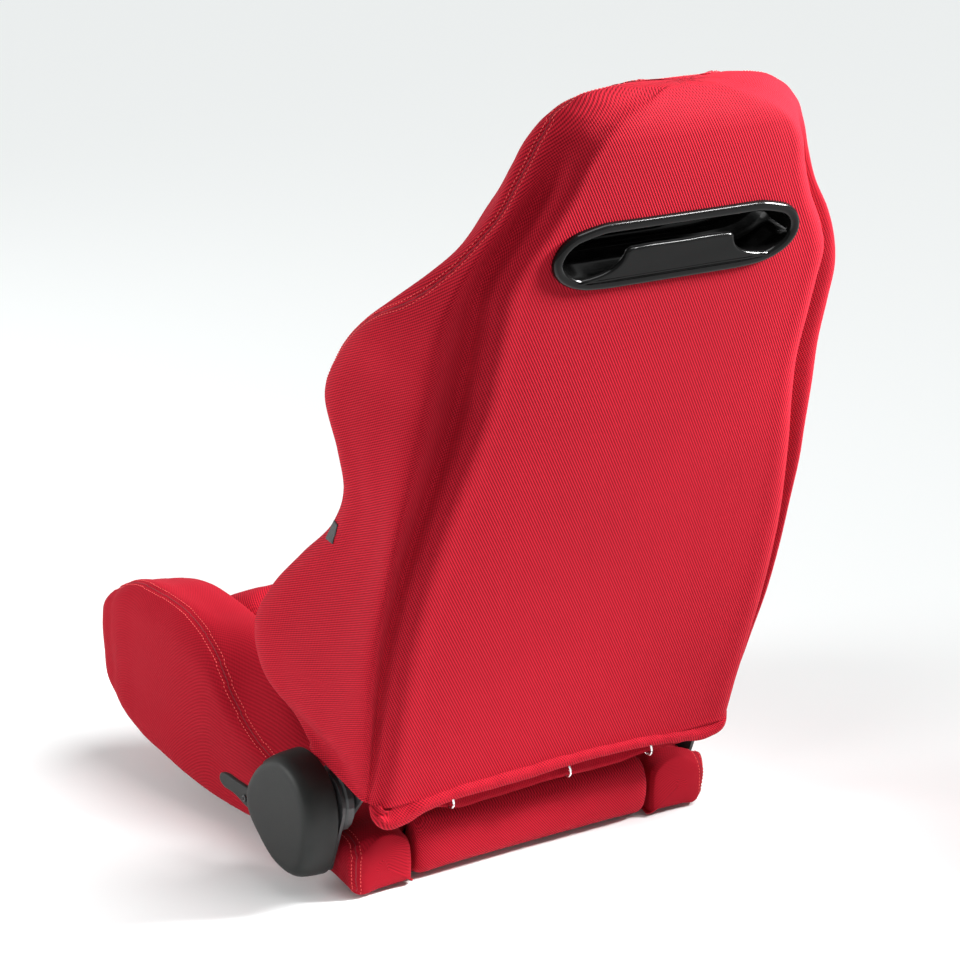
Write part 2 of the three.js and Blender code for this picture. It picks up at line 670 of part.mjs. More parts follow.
// The centre pad between the wings, cut across X.
function backCentre() {
  const front = CENTRE_FRONT.filter(([s]) => s < GUIDE.lowS);
  const top = GUIDE.lowS - 4;
  const profile = [
    [POCKET_FRONT - GAP, 44], [0, 44], ...front.map(([s, t]) => [t, Math.max(s, 46)]),
    [-18, top - 14], [-10, top], [POCKET_FRONT - GAP, top],
  ];
  const crown = [[-1, 3], [-0.8, 0], [0, -3], [0.8, 0], [1, 3]];
  const sections = crown.map(([, sink]) => {
    return profile.map(([t, s]) => v2(t < -5 ? t + sink : t, s));
  });
  return loft(sections, (p, k) => v3(crown[k][0] * (BACK_SPLIT - 2), p.x, p.y));
}

function roundedSection(halfWidth, front, rear, corner) {
  const points = [];
  const corners = [
    [halfWidth - corner, rear - corner, 0], [corner - halfWidth, rear - corner, 90],
    [corner - halfWidth, front + corner, 180], [halfWidth - corner, front + corner, 270],
  ];
  for (const [x, t, start] of corners) {
    for (const step of [0, 30, 60, 90]) {
      const angle = THREE.MathUtils.degToRad(start + step);
      points.push(v2(x + corner * Math.cos(angle), t + corner * Math.sin(angle)));
    }
  }
  return points;
}

// The head: a block with a rounded crown, hollowed from behind for the frame's top bend.
function headrestPad() {
  const rear = BACK_REAR - COVER_SHEET - GAP;
  const stations = [
    [WING_TOP + GAP, 197, -16, rear, 36], [740, 181, -16, rear, 34],
    [775, 166, -12, rear, 32], [798, 152, -4, rear, 28], [813, 133, 6, rear - 2, 24],
    [823, 108, 17, rear - 8, 18], [828, 80, 28, rear - 18, 9],
  ];
  const sections = stations.map(([, ...size]) => roundedSection(...size));
  const block = loft(sections, (p, k) => v3(p.x, p.y, stations[k][0]));
  const hollow = outline([
    [-178, WING_TOP - 5], [178, WING_TOP - 5], [170, 735], [148, 770], [120, 790],
    [-120, 790], [-148, 770], [-170, 735],
  ]);
  return cut(block, plateY(hollow, POCKET_FRONT, BACK_REAR));
}

// The harness guide's outline, drawn in by an inset.
function guideLoop(inset) {
  const left = GUIDE.outline.map(([x, y]) => v2(x, y));
  const right = GUIDE.outline.map(([x, y]) => v2(-x, y)).reverse();
  const loop = [...left, ...right];
  return loop.map((point, i) => {
    const ahead = v2().subVectors(loop[(i + 1) % loop.length], loop.at(i - 1)).normalize();
    return [point.x - ahead.y * inset, point.y + ahead.x * inset];
  });
}

// The slot: the outline drawn in by the rim, less the plate that stands up in its middle.
function guideSlot() {
  const plateRight = GUIDE.plate.map(([x, y]) => [-x, y]).reverse();
  return [...guideLoop(GUIDE.rim), ...plateRight, ...GUIDE.plate];
}

function harnessGuide(flangeFrom, flangeTo, sleeveFrom, sleeveTo) {
  const flange = outline(guideLoop(0));
  const sleeve = outline(guideLoop(GUIDE.rim - 3));
  flange.holes.push(new THREE.Path(guideSlot().map(([x, s]) => v2(x, s))));
  sleeve.holes.push(new THREE.Path(guideSlot().map(([x, s]) => v2(x, s))));
  return join(plateY(flange, flangeFrom, flangeTo), plateY(sleeve, sleeveFrom, sleeveTo));
}

// The padded rear cover's outline, half-widths by height.
const REAR_COVER_EDGE = [
  [46, 233], [140, 239], [255, 243], [330, 237], [400, 226], [455, 213], [508, 205],
  [610, 205], [645, 201], [680, 184], [722, 158], [762, 144], [792, 126], [812, 100], [821, 60],
];

function rearCover() {
  const left = REAR_COVER_EDGE.map(([s, x]) => [x, s]);
  const right = REAR_COVER_EDGE.map(([s, x]) => [-x, s]).reverse();
  const shape = outline([...left, ...right]);
  const opening = guideLoop(GUIDE.rim - 3 - GAP * 2).map(([x, s]) => v2(x, s));
  shape.holes.push(new THREE.Path(opening));
  return plateY(shape, BACK_REAR - COVER_SHEET, BACK_REAR);
}

// The rolled hem under the rear cover, notched where the hog rings pass through.
function rearHem() {
  const { halfWidth, front, rear, low, high } = HEM;
  const profile = [
    [front + 2, low], [front, low + 8], [front + 1, high - 4], [front + 4, high],
    [rear - 2, high - 2], [rear, high - 10], [rear - 1, low + 10], [rear - 3, low],
  ];
  const sections = [-1, -0.97, 0.97, 1].map((end) => {
    const size = Math.abs(end) === 1 ? 0.7 : 1;
    const middle = v2((front + rear) / 2, (low + high) / 2);
    return profile.map(([t, s]) => v2(t, s).sub(middle).multiplyScalar(size).add(middle));
  });
  const places = [-halfWidth, 8 - halfWidth, halfWidth - 8, halfWidth];
  const roll = loft(sections, (p, k) => v3(places[k], p.x, p.y));
  const notches = Object.values(RING.xs).map((x) => {
    return box(x - 2.5, x + 2.5, front - 5, rear + 5, RING.s - 10, RING.s + 11);
  });
  return cut(roll, ...notches);
}

function hogRing(x) {
  const ring = new THREE.TorusGeometry(RING.radius, RING.wire, 5, 14);
  return ring.rotateY(Math.PI / 2).translate(x, (HEM.front + HEM.rear) / 2, RING.s);
}

addPair(backrest, "back_wing", "cloth", backWing());
backrest.add(named("back_centre_pad", "cloth", backCentre()));
backrest.add(named("headrest_pad", "cloth", headrestPad()));
backrest.add(named("rear_cover", "cloth", rearCover()));
backrest.add(named("rear_hem", "cloth", rearHem()));
for (const [place, x] of Object.entries(RING.xs)) {
  backrest.add(named(`hog_ring_${place}`, "brightSteel", hogRing(x)));
}
const guideRear = harnessGuide(BACK_REAR + GAP, BACK_REAR + 6.5, 30, BACK_REAR + 1);
const guideFront = harnessGuide(-29, -22.5, -23, 30 - GAP);
backrest.add(named("harness_guide_rear", "blackPlastic", guideRear));
backrest.add(named("harness_guide_front", "blackPlastic", guideFront));

// A blank woven tag sewn to the left wing's waist.
const TAG = { x0: 264.9, x1: 266.3, t0: -60, t1: -42, s0: 303, s1: 327 };
const tag = box(TAG.x0, TAG.x1, TAG.t0, TAG.t1, TAG.s0, TAG.s1);
backrest.add(named("wing_tag", "label", tag));

export default seat;
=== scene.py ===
"""Looks of the racing seat: cloth, foam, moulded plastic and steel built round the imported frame.

Lengths are millimetres in the tables and metres in the scene. A backrest point is (x, t, s):
x to the occupant's left, t rearwards and s up the leaning back from the recliner axis.
"""

import json
import math

import bmesh
import bpy
import numpy as np
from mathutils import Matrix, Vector
from mathutils.bvhtree import BVHTree
from mathutils.kdtree import KDTree


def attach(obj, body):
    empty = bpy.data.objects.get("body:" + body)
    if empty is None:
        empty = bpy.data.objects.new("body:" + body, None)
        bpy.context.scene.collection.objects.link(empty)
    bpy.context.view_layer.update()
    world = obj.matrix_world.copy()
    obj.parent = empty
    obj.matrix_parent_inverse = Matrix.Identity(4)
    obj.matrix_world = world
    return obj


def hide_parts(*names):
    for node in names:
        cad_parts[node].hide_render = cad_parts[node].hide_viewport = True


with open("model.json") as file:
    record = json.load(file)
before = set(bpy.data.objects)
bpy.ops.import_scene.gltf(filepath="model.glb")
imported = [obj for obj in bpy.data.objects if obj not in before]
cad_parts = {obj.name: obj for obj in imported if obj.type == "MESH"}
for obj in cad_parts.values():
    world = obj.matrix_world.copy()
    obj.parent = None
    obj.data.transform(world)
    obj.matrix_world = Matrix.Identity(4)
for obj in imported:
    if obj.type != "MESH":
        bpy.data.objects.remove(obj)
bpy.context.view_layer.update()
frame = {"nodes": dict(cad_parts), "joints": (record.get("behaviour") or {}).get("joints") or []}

MM = 0.001
LEAN = math.radians(17)
PIVOT = np.array(frame["joints"][0]["pos_m"]) / MM

# ---- tables, millimetres

# Wing by height s: half-width, t of the front edge, half-width of the flat rear, tip roll,
# then the half-width and t of the shoulder behind its side.
WING = [
    (40, 246, -34, 236, 14, 239, 60), (60, 246, -84, 236.5, 18, 241, 60),
    (84, 262, -122, 237, 20, 243.5, 60), (110, 269, -138, 238.5, 21, 246.5, 60),
    (140, 272, -145, 240, 22, 250, 60), (189, 269, -132, 243, 22, 257, 60),
    (255, 262, -95, 243, 22, 261, 59), (316, 258, -56, 239, 21, 260.5, 58),
    (370, 261, -43, 231, 20, 259.5, 57), (410, 268, -55, 224, 20, 255.5, 56),
    (458, 274, -83, 214, 22, 252, 54), (510, 273, -74, 206, 22, 248, 51),
    (560, 272, -44, 206, 20, 247.5, 50), (600, 261, -15, 206, 14, 247, 49),
    (640, 240, 10, 205, 12, 235, 47), (668, 221, 24, 192, 11, 220, 46),
    (704, 195, 24, 169, 11, 194, 45), (740, 179, 21, 151, 11, 174, 45),
    (775, 164, 19, 137, 11, 157, 45), (798, 148, 21, 119, 10, 141, 45),
    (813, 128, 22, 96, 9, 118, 44), (823, 102, 24, 68, 7, 91, 40), (828, 74, 28, 42, 4, 65, 36),
]
# Head by height s: t of its front face, t of its rear face.
HEAD_FACES = [
    (600, -18, 77.5), (704, -17, 77.5), (760, -15, 77.5), (785, -9, 76), (798, -4, 74),
    (813, 6, 67), (823, 17, 57), (828, 26, 47),
]
# Heights s where the wing turns into the head, where the valley beside the rear panel runs out,
# and between which the crease in that valley deepens and ends again.
HEAD_TURN = (610, 704)
VALLEY_END = (730, 800)
CREASE = {"depth": 4.0, "rise": (60, 120), "fall": (560, 640)}
# How far the rear panel falls away at its edge.
PANEL_EDGE = 9.0
# Seat side of the backrest: height s, t.
SEAT_SIDE = [(40, -12), (70, -24), (180, -34), (300, -30), (480, -20), (830, -20)]
# Half-width at which the wings meet the centre cushion.
BACK_SPLIT = 152
# Points drawn between one feature of the half section and the next.
SPANS = [8, 6, 4, 5, 4, 7, 9, 8, 6, 6, 6, 6, 8, 8, 3, 4, 3]

# The stitched seam round the backrest, left half from the top middle down.
BACK_SEAM = [
    (0, 22, 829), (60, 21, 827), (98, 22, 818), (125, 25, 804), (143, 28, 786),
    (157, 31, 762), (170, 33, 738), (185, 36, 714), (206, 36, 690), (226, 34, 664),
    (247, 18, 626), (257, 0, 602), (264, -24, 578), (270, -47, 554), (275, -72, 522),
    (277, -88, 495), (274, -98, 458), (262, -78, 415), (250, -66, 372), (246, -76, 316),
    (250, -112, 255), (257, -150, 189), (258, -164, 140), (250, -154, 104), (236, -118, 70),
]

# Left half of the harness guide's outline upwards, and of the plate that stands in the slot.
GUIDE_OUTLINE = [
    (0, 636.5), (50, 636.5), (88, 637), (112, 639.5), (131, 646), (145, 656.5), (151.5, 670),
    (149.5, 683), (143, 693), (132, 701), (118, 705.4), (104, 708.4), (98, 709.4), (91, 709.8),
    (50, 709.8), (0, 709.8),
]
GUIDE_PLATE = [
    (0, 680), (54, 680), (62, 679.4), (65.5, 677.2), (67.5, 672), (71.5, 665.5), (79, 659.5),
    (90, 655.2), (103, 652.6), (118, 650.6), (124, 648.2), (122, 646.2), (104, 645), (60, 645),
    (0, 645),
]
# Rim of the harness guide from its outer foot over the crest into the slot: inset, rise. The wall
# that it ends in is this thick, and starts this far under the face.
GUIDE_RIM = [
    (0, 0), (0.1, 2.6), (0.8, 4.6), (2.2, 6.0), (4.4, 6.6), (7.4, 6.4), (9.2, 5.6),
    (10.4, 4.4), (11.4, 1.6), (12.0, -3), (12.4, -10), (12.7, -26), (12.7, -52),
]
GUIDE_SIDES = 132
GUIDE_WALL = {"thick": 3.2, "under": -6}

# Cushion bolster by depth y: ridge, outer edge, half-width, underside, inner half-width.
BOLSTER = [
    (-294, 174, 166, 236, 130, 178), (-280, 202, 197, 257, 112, 160),
    (-246, 221, 224, 265, 80, 150), (-199, 231, 236, 263, 54, 150),
    (-150, 229, 234, 261, 43, 150), (-102, 222, 226, 258, 33, 150), (-46, 209, 192, 252, 24, 150),
    (-14, 188, 150, 248, 21, 150), (38, 150, 113, 243, 20, 150),
    (75, 120, 98, 240, 20, 150), (98, 104, 90, 239, 18, 150), (150, 84, 75, 239, 14, 150),
    (196, 74, 68, 239, 9, 150), (205.4, 73, 67, 239, 7, 163), (206.2, 73, 67, 239, 7, 163),
    (216, 72, 65, 239, 5, 163), (219, 71, 64, 239, 4.5, 163), (229, 68, 60, 239, 2.5, 163),
    (234, 66, 54, 236, 5, 165),
]
# Depths y beside the hinge plate and the widest half-width there, the depth where the side member
# ends, and the depths between which the bolster's loops come to share one spacing.
BESIDE_PLATE = (80, 217)
PLATE_LIMIT = {"left": 240.5, "right": 228.8}
FRAME_END = 206
SHARED_FROM = (60, 140)
BOLSTER_SIDES = 96
# Stitched seam along the bolster's outer edge, left side: x, y, z.
BOLSTER_SEAM = [
    (226, -292, 120), (238, -288, 165), (243, -262, 205), (241, -215, 229), (240, -172, 232),
    (240, -102, 229), (238, -51, 199), (235, -14, 150), (232, 38, 113), (228, 75, 100),
    (227, 120, 84), (229, 180, 74), (231, 222, 68), (234, 235, 58), (235, 236, 30),
    (234, 233, 6),
]
# Seat cushion and the roll behind it, seen from the side: y, z.
CUSHION_PROFILE = [
    (-228, 44), (-254, 75), (-262, 125), (-261, 168), (-248, 190), (-216, 195), (-110, 162),
    (0, 139), (90, 123), (165, 114), (194, 107), (201, 90), (201, 60), (190, 44),
]
ROLL_PROFILE = [
    (207, 12), (207, 66), (213, 75), (223, 73), (232, 61), (235.5, 42), (234, 22), (229, 8.5),
    (221, 4.5), (210, 5),
]

# Hem under the rear panel from left to right: x, t, s of its middle, its size.
HEM = [
    (236, 66, 38, 0.55), (233, 73, 27, 0.8), (222, 78, 19, 1.0), (203, 79, 21.5, 1.2),
    (180, 79, 30.5, 1.15), (145, 79, 36, 1.05), (100, 79, 38, 1.1), (55, 79, 39, 1.15),
    (-5, 79, 41.5, 1.05), (-60, 79, 41, 0.95), (-119, 79, 37.5, 0.9), (-170, 79, 31, 0.9),
    (-205, 78, 26.5, 0.95), (-226, 75, 33, 0.9), (-233, 69, 39, 0.6),
]
# The hem cut across: flatter in front, full behind, with its turned-in edge.
HEM_SECTION = [
    (-4.6, 4.0), (-2.2, 6.4), (0.4, 7.6), (1.6, 11), (2.0, 16), (4.4, 16.5), (5.2, 9),
    (5.0, -2.2), (3.6, -5.4), (0.8, -6.9), (-2.2, -6.4), (-4.6, -3.6), (-5.2, 0.4),
]
# Lower edge of the lining that the hog rings hold, from left to right: x, t, s.
LINING = [
    (205, 70, 27), (175, 73, 25), (146, 76, 19), (128, 74, 12), (90, 72, 10.5), (56, 73, 12.5),
    (25, 75, 16.5), (-7, 77, 18.5), (-48, 74, 14.5), (-88, 75, 16), (-116, 77, 22), (-150, 73, 19),
    (-190, 70, 18), (-212, 66, 25),
]
RING_X = {"left": 143, "centre": -10, "right": -121}
RING_S = 20

# Recliner cover seen from the side, y and z, and its steps outwards: depth, size.
COVER_OUTLINE = [
    (155, 153), (190, 149), (214, 132), (225, 104), (223, 72), (212, 38), (190, 19),
    (150, 21), (112, 44), (89, 68), (87, 91), (103, 118), (127, 140),
]
COVER_MIDDLE = (159, 88)
COVER_X = (250, 287.6)
COVER_STEPS = [
    (0, 0.998), (0.02, 1.0), (0.25, 0.993), (0.50, 0.981), (0.66, 0.967), (0.75, 0.952),
    (0.84, 0.928), (0.905, 0.90), (0.95, 0.872), (0.98, 0.838), (0.995, 0.79), (1, 0.73),
    (1.0, 0.4), (1.0, 0.12),
]
# Lever grip seen from the side, and the x of its two faces.
LEVER_GRIP = [
    (122, 68), (124, 82), (118, 90.5), (98, 90), (64, 90.5), (38, 91), (30, 88), (28.5, 80.5),
    (36, 75.5), (60, 74), (84, 68), (100, 66),
]
LEVER_X = (275.4, 281.4)
SCREW = {"x": 281.2, "y": 84, "z": 77}
TAG = {"x": 262.6, "t": -51, "s": 315, "width": 19, "height": 25}

CAMERA = {"at": (1812.0, 2752.7, 1364.0), "aim": (30.3, 170.0, 416.7), "lens": 114.08}


# ---- curves and meshes

def smooth(knots, values, at):
    """Values at places on a smooth curve through the knots."""
    x = np.asarray(knots, float)
    v = np.asarray(values, float).reshape(len(x), -1)
    step = np.diff(x)
    rise = np.diff(v, axis=0) / step[:, None]
    slope = np.empty_like(v)
    slope[0], slope[-1] = rise[0], rise[-1]
    before, after = step[:-1, None], step[1:, None]
    slope[1:-1] = (rise[:-1] * after + rise[1:] * before) / (before + after)
    k = np.clip(np.searchsorted(x, at, side="right") - 1, 0, len(x) - 2)
    width = step[k][:, None]
    u = ((at - x[k]) / step[k])[:, None]
    return (
        (2 * u**3 - 3 * u**2 + 1) * v[k] + (u**3 - 2 * u**2 + u) * width * slope[k]
        + (3 * u**2 - 2 * u**3) * v[k + 1] + (u**3 - u**2) * width * slope[k + 1]
    )


def smooth_column(table, place, column):
    """A column of a table at a place, on a smooth curve through its rows."""
    rows = np.array(table, float)
    return float(smooth(rows[:, 0], rows[:, column], np.array([place]))[0, 0])


def run_along(points, power=1.0):
    """How far each point lies along a line, with its steps raised to a power."""
    return np.r_[0, np.cumsum(np.linalg.norm(np.diff(points, axis=0), axis=1) ** power)]


def path_through(points, spacing):
    """Evenly spaced points on a smooth curve through these."""
    p = np.asarray(points, float)
    knots = run_along(p)
    fine = smooth(knots, p, np.linspace(0, knots[-1], int(knots[-1] / spacing) * 4 + 8))
    run = run_along(fine)
    even = np.linspace(0, run[-1], max(2, int(run[-1] / spacing)) + 1)
    return np.stack([np.interp(even, run, fine[:, i]) for i in range(p.shape[1])], axis=1)


def closed(points):
    """A loop's points with three carried over at its start and four at its end."""
    p = np.asarray(points, float)
    return np.vstack([p[-3:], p, p[:4]])


def loop_knots(points):
    return run_along(closed(points), 0.6)


def loop_through(points, count, knots=None):
    """Points on a closed smooth curve through these."""
    knots = loop_knots(points) if knots is None else knots
    at = np.linspace(knots[3], knots[-4], count, endpoint=False)
    return smooth(knots, closed(points), at)


def back_point(x, t, s):
    """Backrest coordinates in millimetres to the row frame in metres."""
    x, t, s = np.broadcast_arrays(np.asarray(x, float), t, s)
    y = PIVOT[1] + t * math.cos(LEAN) + s * math.sin(LEAN)
    z = PIVOT[2] - t * math.sin(LEAN) + s * math.cos(LEAN)
    return np.stack([x, y, z], axis=-1) * MM


def side_ring(x, loop):
    """A loop of (y, z) points at one x, in metres."""
    return np.column_stack([np.full(len(loop), x), loop]) * MM


def new_object(name, data):
    made = bpy.data.objects.new(name, data)
    bpy.context.scene.collection.objects.link(made)
    return made


def mesh_piece(name, verts, faces, weave=None):
    """A smooth-shaded object, with its weave coordinates where it is cloth."""
    data = bpy.data.meshes.new(name)
    data.from_pydata([tuple(v) for v in verts], [], [tuple(f) for f in faces])
    data.validate()
    bm = bmesh.new()
    bm.from_mesh(data)
    bmesh.ops.recalc_face_normals(bm, faces=bm.faces)
    bm.to_mesh(data)
    bm.free()
    data.polygons.foreach_set("use_smooth", [True] * len(data.polygons))
    piece = new_object(name, data)
    if weave is not None:
        set_weave(piece, weave)
    return piece


def tube_faces(rows, count, capped=True):
    """Faces of a loft of closed rows, each end closed by one face where it is capped."""
    faces = []
    for k in range(rows - 1):
        for i in range(count):
            j = (i + 1) % count
            faces.append((k * count + i, k * count + j, (k + 1) * count + j, (k + 1) * count + i))
    if capped:
        faces.append(tuple(range(count))[::-1])
        faces.append(tuple((rows - 1) * count + i for i in range(count)))
    return faces


def grid_faces(rows, columns, first=0):
    """Faces of an open grid of points, numbered row by row from a first one."""
    corners = [first + k * columns + i for k in range(rows - 1) for i in range(columns - 1)]
    return [(a, a + 1, a + columns + 1, a + columns) for a in corners]


def loft_piece(name, rows, weave=None):
    """A closed body through rows of points, all with the same count."""
    rows = np.asarray(rows, float)
    faces = tube_faces(rows.shape[0], rows.shape[1])
    flat = None if weave is None else np.asarray(weave).reshape(-1, 3)
    return mesh_piece(name, rows.reshape(-1, 3), faces, flat)


def swept_piece(name, path, section, up, sizes=None):
    """A section of (side, up) points carried along a path of row-frame points."""
    p = np.asarray(path, float)
    ahead = np.gradient(p, axis=0)
    ahead /= np.linalg.norm(ahead, axis=1)[:, None]
    side = np.cross(ahead, np.asarray(up, float))
    side /= np.linalg.norm(side, axis=1)[:, None]
    lift = np.cross(side, ahead)
    size = np.ones(len(p)) if sizes is None else np.asarray(sizes, float)
    sec = np.asarray(section, float)
    across = sec[None, :, 0, None] * side[:, None, :] + sec[None, :, 1, None] * lift[:, None, :]
    return loft_piece(name, p[:, None, :] + size[:, None, None] * across)


def circle_section(radius, sides):
    angle = np.linspace(0, 2 * math.pi, sides, endpoint=False)
    return np.stack([radius * np.cos(angle), radius * np.sin(angle)], axis=1)


def apply_modifiers(piece):
    """The piece's mesh as its modifiers leave it."""
    bpy.context.view_layer.update()
    graph = bpy.context.evaluated_depsgraph_get()
    made = bpy.data.meshes.new_from_object(piece.evaluated_get(graph))
    piece.modifiers.clear()
    old = piece.data
    piece.data = made
    bpy.data.meshes.remove(old)
    made.polygons.foreach_set("use_smooth", [True] * len(made.polygons))
    return piece


def gathered(items, key):
    """A vector of each of a mesh's items, one to a row."""
    values = np.empty(len(items) * 3)
    items.foreach_get(key, values)
    return values.reshape(-1, 3)


def points_of(piece):
    return gathered(piece.data.vertices, "co")


def move_points(piece, co):
    piece.data.vertices.foreach_set("co", np.asarray(co, np.float32).ravel())
    piece.data.update()


def set_weave(piece, weave):
    held = piece.data.attributes
    layer = held.get("weave") or held.new("weave", "FLOAT_VECTOR", "POINT")
    layer.data.foreach_set("vector", np.asarray(weave, np.float32).ravel())


def carry_weave(piece):
    """Remembers the weave, to give it back by place after the mesh has been cut."""
    tree = tree_of(points_of(piece))
    kept = gathered(piece.data.attributes["weave"].data, "vector")
    return lambda cut: set_weave(cut, kept[[tree.find(Vector(p))[1] for p in points_of(cut)]])


def tree_of(points):
    tree = KDTree(len(points))
    for i, p in enumerate(points):
        tree.insert(Vector(p), i)
    tree.balance()
    return tree


def box_weave(piece, side=0.0):
    """Weave coordinates of a pad, with the cloth laid over it from front to back."""
    co = points_of(piece) / MM
    middle = co.mean(axis=0)
    run = (co[:, 1] - middle[1]) + 1.35 * (co[:, 2] - middle[2])
    set_weave(piece, np.stack([co[:, 0], run, np.full(len(co), side)], axis=1))


def press_line(piece, path, depth, width):
    """Sinks the surface along a line of row-frame points, as a seam pulls cloth in."""
    tree = tree_of(path)
    co = points_of(piece)
    normal = gathered(piece.data.vertex_normals, "vector")
    gap = np.array([tree.find(Vector(p))[2] for p in co])
    sink = depth * np.exp(-((gap / width) ** 2))
    move_points(piece, co - normal * sink[:, None])


def surface_of(piece):
    return BVHTree.FromPolygons(
        [v.co.copy() for v in piece.data.vertices], [tuple(p.vertices) for p in piece.data.polygons]
    )


def lay_on(tree, path, lift=0.0):
    """The path's nearest points on a surface, and the surface's normals there."""
    found = [tree.find_nearest(Vector(p)) for p in path]
    normal = np.array([f[1] for f in found])
    return np.array([f[0] for f in found]) + lift * normal, normal


def cut_away(piece, cutter):
    """Takes one closed body away from another."""
    hole = piece.modifiers.new("slot", "BOOLEAN")
    hole.operation = "DIFFERENCE"
    hole.object = cutter
    hole.solver = "EXACT"
    apply_modifiers(piece)
    data = cutter.data
    bpy.data.objects.remove(cutter)
    bpy.data.meshes.remove(data)


# Thread dashes in metres, and a dash's profile as shares of its length and radius.
STITCH = {"pitch": 4.2 * MM, "length": 2.7 * MM, "radius": 0.5 * MM, "sides": 6}
STITCH_PROFILE = [(-0.5, 0.25), (-0.36, 0.85), (0, 1), (0.36, 0.85), (0.5, 0.25)]


def stitches(name, tree, path, offsets, body, material):
    """Rows of thread dashes lying on a surface, beside a line of row-frame points."""
    even = path_through(path, STITCH["pitch"])
    verts, faces = [], []
    for offset in offsets:
        on, normal = lay_on(tree, even)
        ahead = np.gradient(on, axis=0)
        ahead /= np.maximum(np.linalg.norm(ahead, axis=1), 1e-9)[:, None]
        beside = np.cross(normal, ahead)
        row, up = lay_on(tree, on + beside * offset)
        for p, n, a in zip(row, up, ahead):
            side = np.cross(n, a)
            first = len(verts)
            for reach, size in STITCH_PROFILE:
                for k in range(STITCH["sides"]):
                    turn = 2 * math.pi * k / STITCH["sides"]
                    verts.append(
                        p + n * STITCH["radius"] * (0.35 + size * math.sin(turn))
                        + a * reach * STITCH["length"]
                        + side * STITCH["radius"] * size * math.cos(turn)
                    )
            dash = tube_faces(len(STITCH_PROFILE), STITCH["sides"])
            faces += [tuple(first + i for i in face) for face in dash]
    dress(mesh_piece(name, verts, faces), material, "red_cloth", body)


def painted_seam_shade(name, tree, path, radius, body, material):
    """Painted shade in the closed gap of a seam: a fine dark cord sunk between the two cloths."""
    on, normal = lay_on(tree, path_through(path, 2.5 * MM))
    cord = swept_piece(name, on - normal * radius * 0.45, circle_section(radius, 6), (0.3, 0.2, 1))
    dress(cord, material, "red_cloth", body)


# Cloth settings for filling a pad.
FILL = {"pressure": 4.0, "mass": 0.3, "stiffness": 15, "quality": 5, "frames": 20, "settle": 2}


def inflate(piece, voxel, cap):
    """Fills a pad by cloth simulation: remesh, pressure, and a limit on how far it swells."""
    remesh = piece.modifiers.new("remesh", "REMESH")
    remesh.mode = "VOXEL"
    remesh.voxel_size = voxel
    apply_modifiers(piece)
    start = points_of(piece)
    cloth = piece.modifiers.new("fill", "CLOTH")
    how = cloth.settings
    how.use_pressure = True
    how.uniform_pressure_force = FILL["pressure"]
    how.effector_weights.gravity = 0
    how.mass = FILL["mass"]
    how.quality = FILL["quality"]
    how.tension_stiffness = FILL["stiffness"]
    how.compression_stiffness = FILL["stiffness"]
    cloth.point_cache.frame_start = 1
    cloth.point_cache.frame_end = FILL["frames"]
    for step in range(1, FILL["frames"] + 1):
        bpy.context.scene.frame_set(step)
    apply_modifiers(piece)
    bpy.context.scene.frame_set(1)
    swell = points_of(piece) - start
    far = np.linalg.norm(swell, axis=1)
    keep = np.minimum(1.0, cap / np.maximum(far, 1e-9))
    move_points(piece, start + swell * keep[:, None])
    relax = piece.modifiers.new("relax", "SMOOTH")
    relax.factor = 0.5
    relax.iterations = FILL["settle"]
    finer = piece.modifiers.new("finer", "SUBSURF")
    finer.levels = finer.render_levels = 1
    return apply_modifiers(piece)


# ---- materials

def new_material(name):
    material = bpy.data.materials.new(name)
    material.use_nodes = True
    tree = material.node_tree
    return material, tree, tree.nodes["Principled BSDF"]


def set_inputs(shader, **values):
    for key, value in values.items():
        shader.inputs[key.replace("_", " ")].default_value = value


def add_node(tree, kind, links=(), **settings):
    """A node with plain settings, and links given as (input, source socket or number)."""
    made = tree.nodes.new(kind)
    for key, value in settings.items():
        setattr(made, key, value)
    for key, value in links:
        if isinstance(value, bpy.types.NodeSocket):
            tree.links.new(value, made.inputs[key])
        else:
            made.inputs[key].default_value = value
    return made


def maths(tree, operation, *values):
    made = add_node(tree, "ShaderNodeMath", list(enumerate(values)), operation=operation)
    return made.outputs[0]


def noise(tree, scale, detail):
    place = add_node(tree, "ShaderNodeTexCoord").outputs["Object"]
    links = [("Vector", place), ("Scale", scale), ("Detail", detail)]
    made = add_node(tree, "ShaderNodeTexNoise", links)
    return made.outputs["Fac"]


def colour_mix(tree, share, low, high):
    made = add_node(tree, "ShaderNodeMix", data_type="RGBA")
    for socket, value in ((made.inputs[0], share), (made.inputs[6], low), (made.inputs[7], high)):
        if isinstance(value, bpy.types.NodeSocket):
            tree.links.new(value, socket)
        else:
            socket.default_value = value
    return made.outputs[2]


def spread(tree, value, low, high):
    """A value from 0 to 1 spread from low to high."""
    links = [("Value", value), ("To Min", low), ("To Max", high)]
    return add_node(tree, "ShaderNodeMapRange", links).outputs["Result"]


def add_bump(tree, shader, height, strength, distance):
    links = [("Height", height), ("Strength", strength), ("Distance", distance)]
    bump = add_node(tree, "ShaderNodeBump", links)
    tree.links.new(bump.outputs["Normal"], shader.inputs["Normal"])


def rib(tree, u, v, waves):
    """A sine over the cloth with this many waves per millimetre along u and v."""
    turn = 2 * math.pi
    across = maths(tree, "MULTIPLY", u, turn * waves[0])
    phase = maths(tree, "MULTIPLY_ADD", v, turn * waves[1], across)
    return maths(tree, "SINE", phase)


# The two sets of yarns, as waves per millimetre across each.
YARN_A = (-0.313, 0.197)
YARN_B = (0.2485, 0.343)


